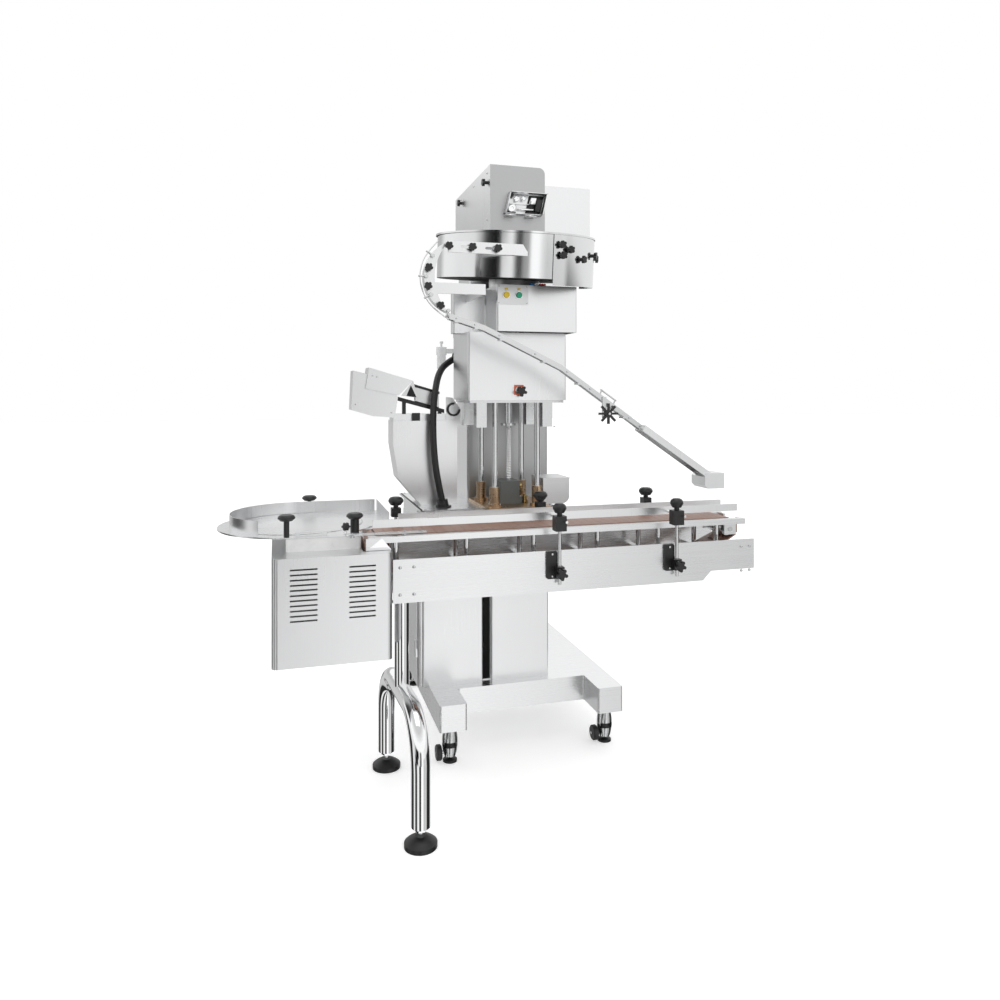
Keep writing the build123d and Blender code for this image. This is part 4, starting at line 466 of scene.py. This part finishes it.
def add_piece(name, shape, kind, body, shift=(0, 0, 0)):
    """Makes a finished piece of a shape: its mesh in metres, its finish and the body it rides on."""
    bmesh.ops.translate(shape.mesh, vec=shift, verts=shape.mesh.verts)
    bmesh.ops.scale(shape.mesh, vec=(MM, MM, MM), verts=shape.mesh.verts)
    for face in shape.mesh.faces:
        face.smooth = True
    for edge in shape.mesh.edges:
        edge.smooth = edge.calc_face_angle(0) < smooth_turn
    data = bpy.data.meshes.new(name)
    shape.mesh.to_mesh(data)
    shape.mesh.free()
    data.materials.append(finishes[kind])
    piece = bpy.data.objects.new(name, data)
    bpy.context.scene.collection.objects.link(piece)
    carry(piece, body)


def carry(piece, body):
    """Says which body a piece rides on."""
    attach(piece, body)


def wire(name, points, thickness, kind, body):
    """A bent rod along control points in millimetres."""
    piece = smooth_line(name, [tuple(part * MM for part in point) for point in points], thickness * MM)
    piece.data.materials.append(finishes[kind])
    carry(piece, body)


conduit.data.materials.append(finishes["rubber"])

up, down, forward = (0, 0, 1), (0, 0, -1), (0, -1, 0)


# Lead screw thread, and small parts round the lift

lift_x, lift_y = 139.0, -27.5
post_half_x, post_half_y = 77, 92.5
post_places = [
    (lift_x + side * post_half_x, lift_y + face * post_half_y) for side in (-1, 1) for face in (-1, 1)
]

thread_bottom, thread_pitch, thread_turns = 932, 6.0, 31
thread = Shape()
thread.helix([(8.8, -2.6), (9.75, 0.0), (8.8, 2.6)], thread_bottom, thread_pitch, thread_turns)
add_piece("screw_thread", thread, "chrome", "screw", (lift_x, lift_y, 0))

flange_top = 856
flange_screw_circle = 21.4
flange_screws = Shape()
for x, y in post_places:
    for step in range(4):
        angle = pi / 4 + step * pi / 2
        place = (x + flange_screw_circle * cos(angle), y + flange_screw_circle * sin(angle), flange_top)
        flange_screws.rod(place, (*place[:2], flange_top + 3.4), 2.6, segments=14, round_by=0.5)
add_piece("flange_screws", flange_screws, "steel", "frame")

gearbox_top = 872
gearbox_screws = Shape()
for x in (91, 171):
    for y in (-66, 19):
        gearbox_screws.bolt((x, y, gearbox_top), up, 4.4)
add_piece("gearbox_screws", gearbox_screws, "steel", "frame")

wear_plate_top = 848.2
tall_fitting = [
    (0, 0), (10, 0), (11, 1), (11, 9), (8, 10), (8, 16), (10, 17), (10, 22), (6, 24), (6, 29), (0, 29),
]
short_fitting = [(0, 0), (8, 0), (9, 1), (9, 11), (6, 12), (6, 18), (0, 18)]
shaft_fittings = Shape()
shaft_fittings.lathe(tall_fitting, (194, -46, wear_plate_top))
shaft_fittings.lathe(short_fitting, (198, 12, wear_plate_top))
add_piece("shaft_fittings", shaft_fittings, "brass", "frame")

collar = [(4.3, 0), (9, 0), (9.6, 0.6), (9.6, 7.4), (9, 8), (4.3, 8), (4.3, 0)]
shaft_collar = Shape()
shaft_collar.lathe(collar, (180, -23.5, 905), (1, 0, 0))
add_piece("shaft_collar", shaft_collar, "brass", "input_shaft")

head_plate_bottom = 1122
plate_screws = Shape()
for x in (-22, 296):
    for y in (-76, 132):
        plate_screws.bolt((x, y, head_plate_bottom), down, 4.2)
add_piece("head_plate_screws", plate_screws, "steel", "head")


# Head: knob plate, button bezels, bare tags and the fittings under the bowl

knob_x, knob_z = 139.5, 1250.5
head_front = -150
knob_plate = Shape()
knob_plate.holed_plate((knob_x, head_front, knob_z), forward, 17, 8.5, 1.4)
add_piece("knob_plate", knob_plate, "orange", "head")
dial = [(8.6, 0), (12.4, 0), (12.4, 1.2), (12, 1.7), (9, 1.7), (8.6, 1.2), (8.6, 0)]
knob_dial = Shape()
knob_dial.lathe(dial, (knob_x, head_front - 0.9, knob_z), forward)
add_piece("knob_dial", knob_dial, "white", "head")

button_places = (76, 120)
button_level = 1568
panel_front = -213
panel_seat = panel_front + 0.1
bezel = [(10.6, 0), (13.4, 0), (13.4, 1.6), (12.6, 2.6), (11.2, 2.6), (10.6, 1.8), (10.6, 0)]
tag_bottom, tag_top, tag_half = 1584.5, 1591, 6
bezels = Shape()
tags = Shape()
for x in button_places:
    bezels.lathe(bezel, (x, panel_front, button_level), forward, 36)
    tags.block((x - tag_half, panel_front - 0.7, tag_bottom), (x + tag_half, panel_seat, tag_top), 0.15)
add_piece("button_bezels", bezels, "chrome", "head")
add_piece("button_tags", tags, "tag", "head")
panel_screws = Shape()
for x in (51, 148):
    for z in (1541, 1595):
        panel_screws.rod((x, panel_seat, z), (x, panel_seat - 1.7, z), 2.2, segments=14, round_by=0.4)
add_piece("panel_screws", panel_screws, "steel", "head")

# Each colour's tube fittings stand on the housing's top, as (x, radius)
housing_top, fitting_front = 1603, -196
fittings = {
    "blue": [(166, 4.4), (173, 4.4)],
    "white": [(184, 4.6), (189, 4.6)],
    "red": [(199, 4.2), (207, 4.2), (215, 4.2)],
}
for kind, places in fittings.items():
    fitting = Shape()
    for x, radius in places:
        neck = radius - 1
        outline = [(0, 0), (radius, 0), (radius, 5), (neck, 5.6), (neck, 8), (radius - 0.4, 8.6), (0, 8.6)]
        fitting.lathe(outline, (x, fitting_front, housing_top + radius), forward, 18)
    add_piece(kind + "_tube_fittings", fitting, kind, "head")


# Cover box: the leaning open tray on its front with what it holds

tray_left, tray_right = 96, 233
tray_front, tray_back = -142, -110
tray_bottom, tray_top = 1861, 1935
tray_wall, tray_flange = 2.4, 5
tray_inside = -112
tray_slope = 0.235


def lean(shape):
    """Leans a shape over to the right above the tray's bottom."""
    slant = Matrix.Identity(4)
    slant[0][2] = tray_slope
    slant[0][3] = -tray_slope * tray_bottom
    bmesh.ops.transform(shape.mesh, matrix=slant, verts=shape.mesh.verts)


tray = Shape()
tray.block((tray_left, tray_back - tray_wall, tray_bottom), (tray_right, tray_back, tray_top), 0.3)
tray.block((tray_left, tray_front, tray_top - tray_wall), (tray_right, tray_back, tray_top), 0.3)
tray.block((tray_left, tray_front, tray_bottom), (tray_left + tray_wall, tray_back, tray_top), 0.3)
tray.block((tray_right - tray_flange, tray_front, tray_bottom), (tray_right, tray_back, tray_top), 0.6)
tray.block((tray_left, tray_front + 14, tray_bottom), (tray_right, tray_back, tray_bottom + tray_wall), 0.3)
tray.block((98, -118, 1896), (176, tray_inside, 1900), 0.3)
lean(tray)
add_piece("cover_tray", tray, "upright", "head")

drum = [(0, 0), (13, 0), (14, 1), (14, 14), (12.5, 15.5), (5, 15.5), (4, 14), (0, 14)]
cup = [(0, 0), (10, 0), (10.5, 0.6), (10.5, 10), (9, 11), (4, 11), (4, 9), (0, 9)]
boss = [(0, 0), (8, 0), (8.5, 0.6), (8.5, 12), (7, 13), (0, 13)]
tray_parts = Shape()
for outline, x, z in ((drum, 118, 1880), (cup, 128, 1914), (boss, 152, 1916)):
    tray_parts.lathe(outline, (x, tray_inside, z), forward)
tray_parts.block((176, -134, 1896), (196, tray_inside, 1918), 1.0)
tray_parts.rod((140, -122, 1878), (196, -122, 1878), 4.5, round_by=0.5)
lean(tray_parts)
add_piece("cover_tray_parts", tray_parts, "chrome", "head")

# Black pieces in the tray. The thin sheet on its back paints the shade inside the bracket; the blocks and
# the round fitting are drawn black.
tray_black_and_shade = Shape()
tray_black_and_shade.block((172, -114.5, 1866), (226, tray_inside, 1930), 0.3)
tray_black_and_shade.block((200, -130, 1872), (220, tray_inside, 1914), 1.5)
tray_black_and_shade.lathe([(0, 0), (7, 0), (7, 9), (6, 10), (0, 10)], (108, tray_inside, 1926), forward, 16)
tray_black_and_shade.block((100, -130, 1864), (134, tray_inside, 1867), 0.6)
tray_black_and_shade.block((170, -130, 1864), (208, tray_inside, 1867.5), 0.6)
lean(tray_black_and_shade)
add_piece("cover_tray_black_and_shade", tray_black_and_shade, "black", "head")

foot_level, foot_width = 1852, 34
tray_feet = Shape()
for x in (98, 172):
    middle = x + foot_width / 2
    tray_feet.block((x, -140, foot_level), (x + foot_width, tray_back, foot_level + tray_wall), 0.4)
    tray_feet.block((x, tray_back - tray_wall, foot_level), (x + foot_width, tray_back, 1862), 0.4)
    nut_bottom, nut_top = (middle, -126, foot_level + 2), (middle, -126, foot_level + 6)
    tray_feet.rod(nut_bottom, nut_top, 5.5, segments=6, round_by=0.5)
add_piece("cover_tray_feet", tray_feet, "chrome", "head")

# Screws in the cover box's left side
cover_left = 48.2
cover_screws = Shape()
for y in (-70, 120, 330):
    for z in (1846, 2010):
        cover_screws.rod((cover_left, y, z), (cover_left - 2.6, y, z), 3.2, segments=16, round_by=0.7)
add_piece("cover_screws", cover_screws, "steel", "head")


# Chute: guard rod beside the wheel, joint screws, and the wire guide round the drop

chute_line = [(-143, 1490), (-28, 1455), (230, 1332), (518, 1132)]
chute_front = -325.8


def chute_level(x):
    """Top of the straight rails at a place along X."""
    for (x1, z1), (x2, z2) in zip(chute_line, chute_line[1:]):
        if x <= x2:
            return z1 + (z2 - z1) * (x - x1) / (x2 - x1)
    return chute_line[-1][1]


rod_y, rod_left, rod_level, rod_fall = -323.5, 368, 1252, 0.684
guard_rod = Shape()
guard_rod.rod((rod_left, rod_y, rod_level), (rod_left + 56, rod_y, 1213.7), 2.6, segments=16, round_by=0.6)
for x in (372, 420):
    z = rod_level - (x - rod_left) * rod_fall
    guard_rod.rod((x, rod_y, z), (x - 6, rod_y, chute_level(x - 6) - 1), 2.2, segments=14)
add_piece("wheel_guard_rod", guard_rod, "steel", "head")

chute_screws = Shape()
for x in (-120, -60, 20, 140, 250, 330, 470, 510):
    z = chute_level(x) - 9
    chute_screws.rod((x, chute_front, z), (x, chute_front - 3.6, z), 3.0, segments=6, round_by=0.4)
add_piece("chute_screws", chute_screws, "steel", "head")

drop_x, drop_z, drop_radius = -104.6, 1602.0, 118.4
wire_y, wire_reach = -331.0, 134


def beside_drop(angle, reach):
    """A point on the drop's front, by its angle up from the left and its radius."""
    angle = radians(angle)
    return drop_x - reach * cos(angle), wire_y, drop_z + reach * sin(angle)


wire_route = [beside_drop(angle, wire_reach) for angle in (56, 30, 8, -14, -36, -56)]
wire("drop_guide_wire", wire_route + [(-146, wire_y, 1470)], 4.0, "chrome", "head")
holder_foot = [(0, 0), (5.6, 0), (6, 0.5), (6, 8), (5.5, 8.5), (0, 8.5)]
holders = Shape()
for angle in (35, 0, -30, -68):
    foot = beside_drop(angle, drop_radius - 6)
    holders.rod(foot, beside_drop(angle, wire_reach + 3), 3.2, segments=14, round_by=0.6)
    holders.lathe(holder_foot, (foot[0], chute_front, foot[2]), forward, 18)
add_piece("drop_guide_holders", holders, "steel", "head")


# Conveyor: clamp screws, bolts in the beam, and the clear tongue from the table to the belt

clamp_front = -496.5
clamp_screws = Shape()
for x in (136, 528):
    for z in (690, 756):
        clamp_screws.rod((x, clamp_front, z), (x, clamp_front - 4.1, z), 3.4, segments=18, round_by=0.8)
add_piece("clamp_screws", clamp_screws, "steel", "frame")

beam_front = -489
beam_bolts = Shape()
for x in (-322, -282, 790, 820):
    for z in (664, 742):
        beam_bolts.bolt((x, beam_front, z), forward, 4.4)
add_piece("beam_bolts", beam_bolts, "steel", "frame")

table_top = 823
tongue_left, tongue_end = -470, -246
tongue_y, tongue_half = -427, 14
tongue_bottom, tongue_top = 829.5, 833.5
tongue = Shape()
tongue.block(
    (tongue_left, tongue_y - tongue_half, tongue_bottom),
    (tongue_end, tongue_y + tongue_half, tongue_top), 0.4,
)
tongue.rod(
    (tongue_end, tongue_y, tongue_bottom), (tongue_end, tongue_y, tongue_top), tongue_half,
    segments=40, round_by=0.5,
)
add_piece("clear_guide_tongue", tongue, "clear", "frame")
tongue_posts = Shape()
for x in (-452, -300):
    tongue_posts.rod((x, tongue_y, table_top), (x, tongue_y, tongue_bottom), 7, segments=20, round_by=0.8)
    tongue_posts.bolt((x, tongue_y, tongue_top), up, 4.2)
add_piece("tongue_posts", tongue_posts, "steel", "frame")

side_knob_level = 852
side_knob = Shape()
side_knob.star_knob((-470, -392, side_knob_level), (0.25, -0.95, 0), 13, thickness=9, stem=6)
add_piece("side_knob", side_knob, "black", "frame")
side_knob_post = Shape()
side_knob_post.rod((-468, -386, 826.8), (-468, -386, 862), 5, segments=20, round_by=1.0)
side_knob_post.rod(
    (-470, -393, side_knob_level), (-467, -382, side_knob_level), 6.5, segments=20, round_by=0.8,
)
add_piece("side_knob_post", side_knob_post, "chrome", "frame")


# Deck: a black strip that paints the shade and dark reflection along its left edge, and screws

deck_top = 838
# Black strip on the deck's left edge: painted shade and painted reflection
painted_edge_shade = Shape()
painted_edge_shade.block((-187.5, -78, deck_top), (-182.5, 372, deck_top + 3.5), 0.8)
add_piece("deck_painted_edge_shade", painted_edge_shade, "rubber", "frame")
deck_screws = Shape()
for x, y in ((-170, -66), (-20, -66), (282, -66), (282, 220), (-170, 388), (282, 388)):
    deck_screws.rod((x, y, deck_top), (x, y, deck_top + 2.6), 4.4, segments=18, round_by=0.9)
add_piece("deck_screws", deck_screws, "steel", "frame")


# Feeder: the folded lip, the trough on its rail, and screws

lip = Shape()
lip.prism([(-195, 1283), (-177, 1222), (-238, 1230)], 38, 40)
add_piece("feeder_lip", lip, "satin", "frame")
# A thin near-black plate on the lip's front paints the shade in its opening
lip_painted_shade = Shape()
lip_painted_shade.prism([(-203, 1267), (-183, 1224), (-219, 1229)], 37, 38.2)
add_piece("feeder_lip_painted_shade", lip_painted_shade, "shadow_gap", "frame")

trough_front, trough_back, trough_wall = 66, 86, 2
trough_side = [(-182, 1209), (-96, 1185.6), (-96, 1236), (-188, 1262)]
trough_floor = [(-182, 1209), (-96, 1185.6), (-96, 1188), (-182, 1211.4)]
trough_edge = [(-190, 1262), (-94, 1235), (-94, 1244), (-190, 1272)]
trough = Shape()
trough_edges = Shape()
for front in (trough_front, trough_back - trough_wall):
    trough.prism(trough_side, front, front + trough_wall)
    trough_edges.prism(trough_edge, front - 1.5, front + 3.5)
trough.prism(trough_floor, trough_front, trough_back)
add_piece("feeder_trough", trough, "satin", "frame")
add_piece("feeder_trough_edges", trough_edges, "black", "frame")

# Each screw stands on the sheet whose front is at its y
feeder_screw_places = [
    (-338, 40, 1300), (-322, 40, 1296), (-395, 50, 1200), (-270, 50, 1170), (-46, 56, 1196), (-66, 60, 1150),
]
feeder_screws = Shape()
for x, y, z in feeder_screw_places:
    feeder_screws.rod((x, y + 0.2, z), (x, y - 2.4, z), 3.0, segments=16, round_by=0.6)
add_piece("feeder_screws", feeder_screws, "steel", "frame")


# Floor, light and background

floor_tone, floor_glow, floor_reach = 0.90, 0.42, 30


def add_floor():
    """A plain pale floor that the camera sees as white, and that keeps the machine's shadow."""
    shape = bmesh.new()
    corners = [(-1, -1), (1, -1), (1, 1), (-1, 1)]
    shape.faces.new([shape.verts.new((x * floor_reach, y * floor_reach, 0)) for x, y in corners])
    mesh = bpy.data.meshes.new("floor")
    shape.to_mesh(mesh)
    shape.free()
    surface = bpy.data.objects.new("floor", mesh)
    bpy.context.scene.collection.objects.link(surface)
    finish = Finish("floor_finish", shade((1, 1, 1), floor_tone), 0.85)
    seen = finish.node("ShaderNodeLightPath", output="Is Camera Ray")
    glow = shade((1, 1, 1), floor_glow)
    finish.set("Emission Color", finish.mixed(seen, (0, 0, 0, 1), (*glow, 1)))
    finish.set("Emission Strength", 1.0)
    mesh.materials.append(finish.material)
    surface.visible_glossy = False


def add_lamp(name, place, aim, size, power):
    data = bpy.data.lights.new(name, "AREA")
    data.shape = "RECTANGLE"
    data.size, data.size_y = size
    data.energy = power
    lamp = bpy.data.objects.new(name, data)
    lamp.location = place
    lamp.rotation_euler = (Vector(aim) - Vector(place)).to_track_quat("-Z", "Y").to_euler()
    bpy.context.scene.collection.objects.link(lamp)


add_floor()
add_lamp("top_softbox", (0.0, -0.6, 4.2), (0.0, 0.0, 1.0), (3.0, 3.0), 30)

# Round the machine the studio is white with a few dark panels, which chrome and bent sheet show as
# streaks. Each band of walls has its own tones, by the angle in degrees from +X towards +Y.
foot_tones = [
    (-180, 0.85), (-172, 0.85), (-166, 0.04), (-146, 0.04), (-138, 0.8), (-122, 0.9), (-115, 0.03),
    (-98, 0.03), (-93, 0.95), (-82, 1.0), (-73, 0.98), (-67, 0.66), (-60, 0.48), (-45, 0.55),
    (-32, 0.6), (-25, 0.02), (26, 0.02), (34, 0.7), (60, 0.7), (86, 0.6), (90, 0.14), (99, 0.14),
    (104, 0.52), (120, 0.52), (126, 0.5), (132, 0.02), (168, 0.02), (174, 0.8), (180, 0.85),
]
middle_tones = [
    (-180, 0.74), (-168, 0.72), (-161, 0.40), (-155, 0.06), (-150, 0.02), (-133, 0), (-128, 0.06),
    (-125, 0.72), (-111, 0.80), (-107, 0.35), (-104, 0.06), (-98, 0.06), (-95, 0.28), (-87, 0.36),
    (-83, 0.98), (-73, 0.98), (-67, 0.70), (-60, 0.52), (-45, 0.58), (-32, 0.6), (-25, 0.02),
    (26, 0.02), (34, 0.7), (60, 0.7), (90, 0.52), (120, 0.52), (126, 0.5), (132, 0.02),
    (168, 0.02), (174, 0.8), (180, 0.74),
]
high_tones = [
    (-180, 0.74), (-166, 0.72), (-156, 0.45), (-149, 0.12), (-144, 0.04), (-134, 0.0), (-121, 0.0),
    (-117, 0.40), (-113, 0.90), (-108, 0.80), (-103, 0.35), (-100, 0.04), (-96, 0.04), (-93, 0.28),
    (-87, 0.34), (-82, 0.96), (-70, 0.94), (-62, 0.85), (-54, 0.85), (-44, 0.74), (20, 0.74),
    (70, 0.70), (92, 0.42), (114, 0.42), (130, 0.80), (150, 0.80), (180, 0.74),
]
ceiling_tone, overhead_tone = 0.92, 0.58
studio_strength = 1.25
bare_strength = 1.0
white = (1.0, 1.0, 1.0, 1.0)

world = bpy.data.worlds.new("studio")
bpy.context.scene.world = world
world.use_nodes = True
studio = Nodes(world.node_tree)
toward = studio.node("ShaderNodeTexCoord", output="Generated")
across = studio.node("ShaderNodeSeparateXYZ", inputs={"Vector": toward})
turn = across.beside(1).around(across) * (1 / (2 * pi)) + 0.5
height = across.beside(2)


def wall(tones):
    """One band of the studio's walls, from its tones by angle."""
    stops = [((angle + 180) / 360, tone) for angle, tone in tones]
    return studio.node("ShaderNodeValToRGB", {"stops": stops}, {"Fac": turn})


def above(level, steepness=14.0):
    """A mask that turns from 0 to 1 over a short rise above a level."""
    return ((height - level) * steepness).clipped(0.0, 1.0)


roof = studio.mixed(
    above(0.50, 3.5), (*shade((1, 1, 1), ceiling_tone), 1.0), (*shade((1, 1, 1), overhead_tone), 1.0),
)
room = studio.mixed(above(-0.24), wall(foot_tones), wall(middle_tones))
room = studio.mixed(above(-0.03), room, wall(high_tones))
room = studio.mixed(above(0.22), room, roof)
seen = studio.node("ShaderNodeLightPath", output="Is Camera Ray")
bare = (seen + seen.beside("Is Transmission Ray")).clipped(0.0, 1.0)
backdrop = world.node_tree.nodes["Background"]
studio.feed(backdrop.inputs["Color"], studio.mixed(bare, room, white))
studio.feed(backdrop.inputs["Strength"], studio_strength - bare * (studio_strength - bare_strength))
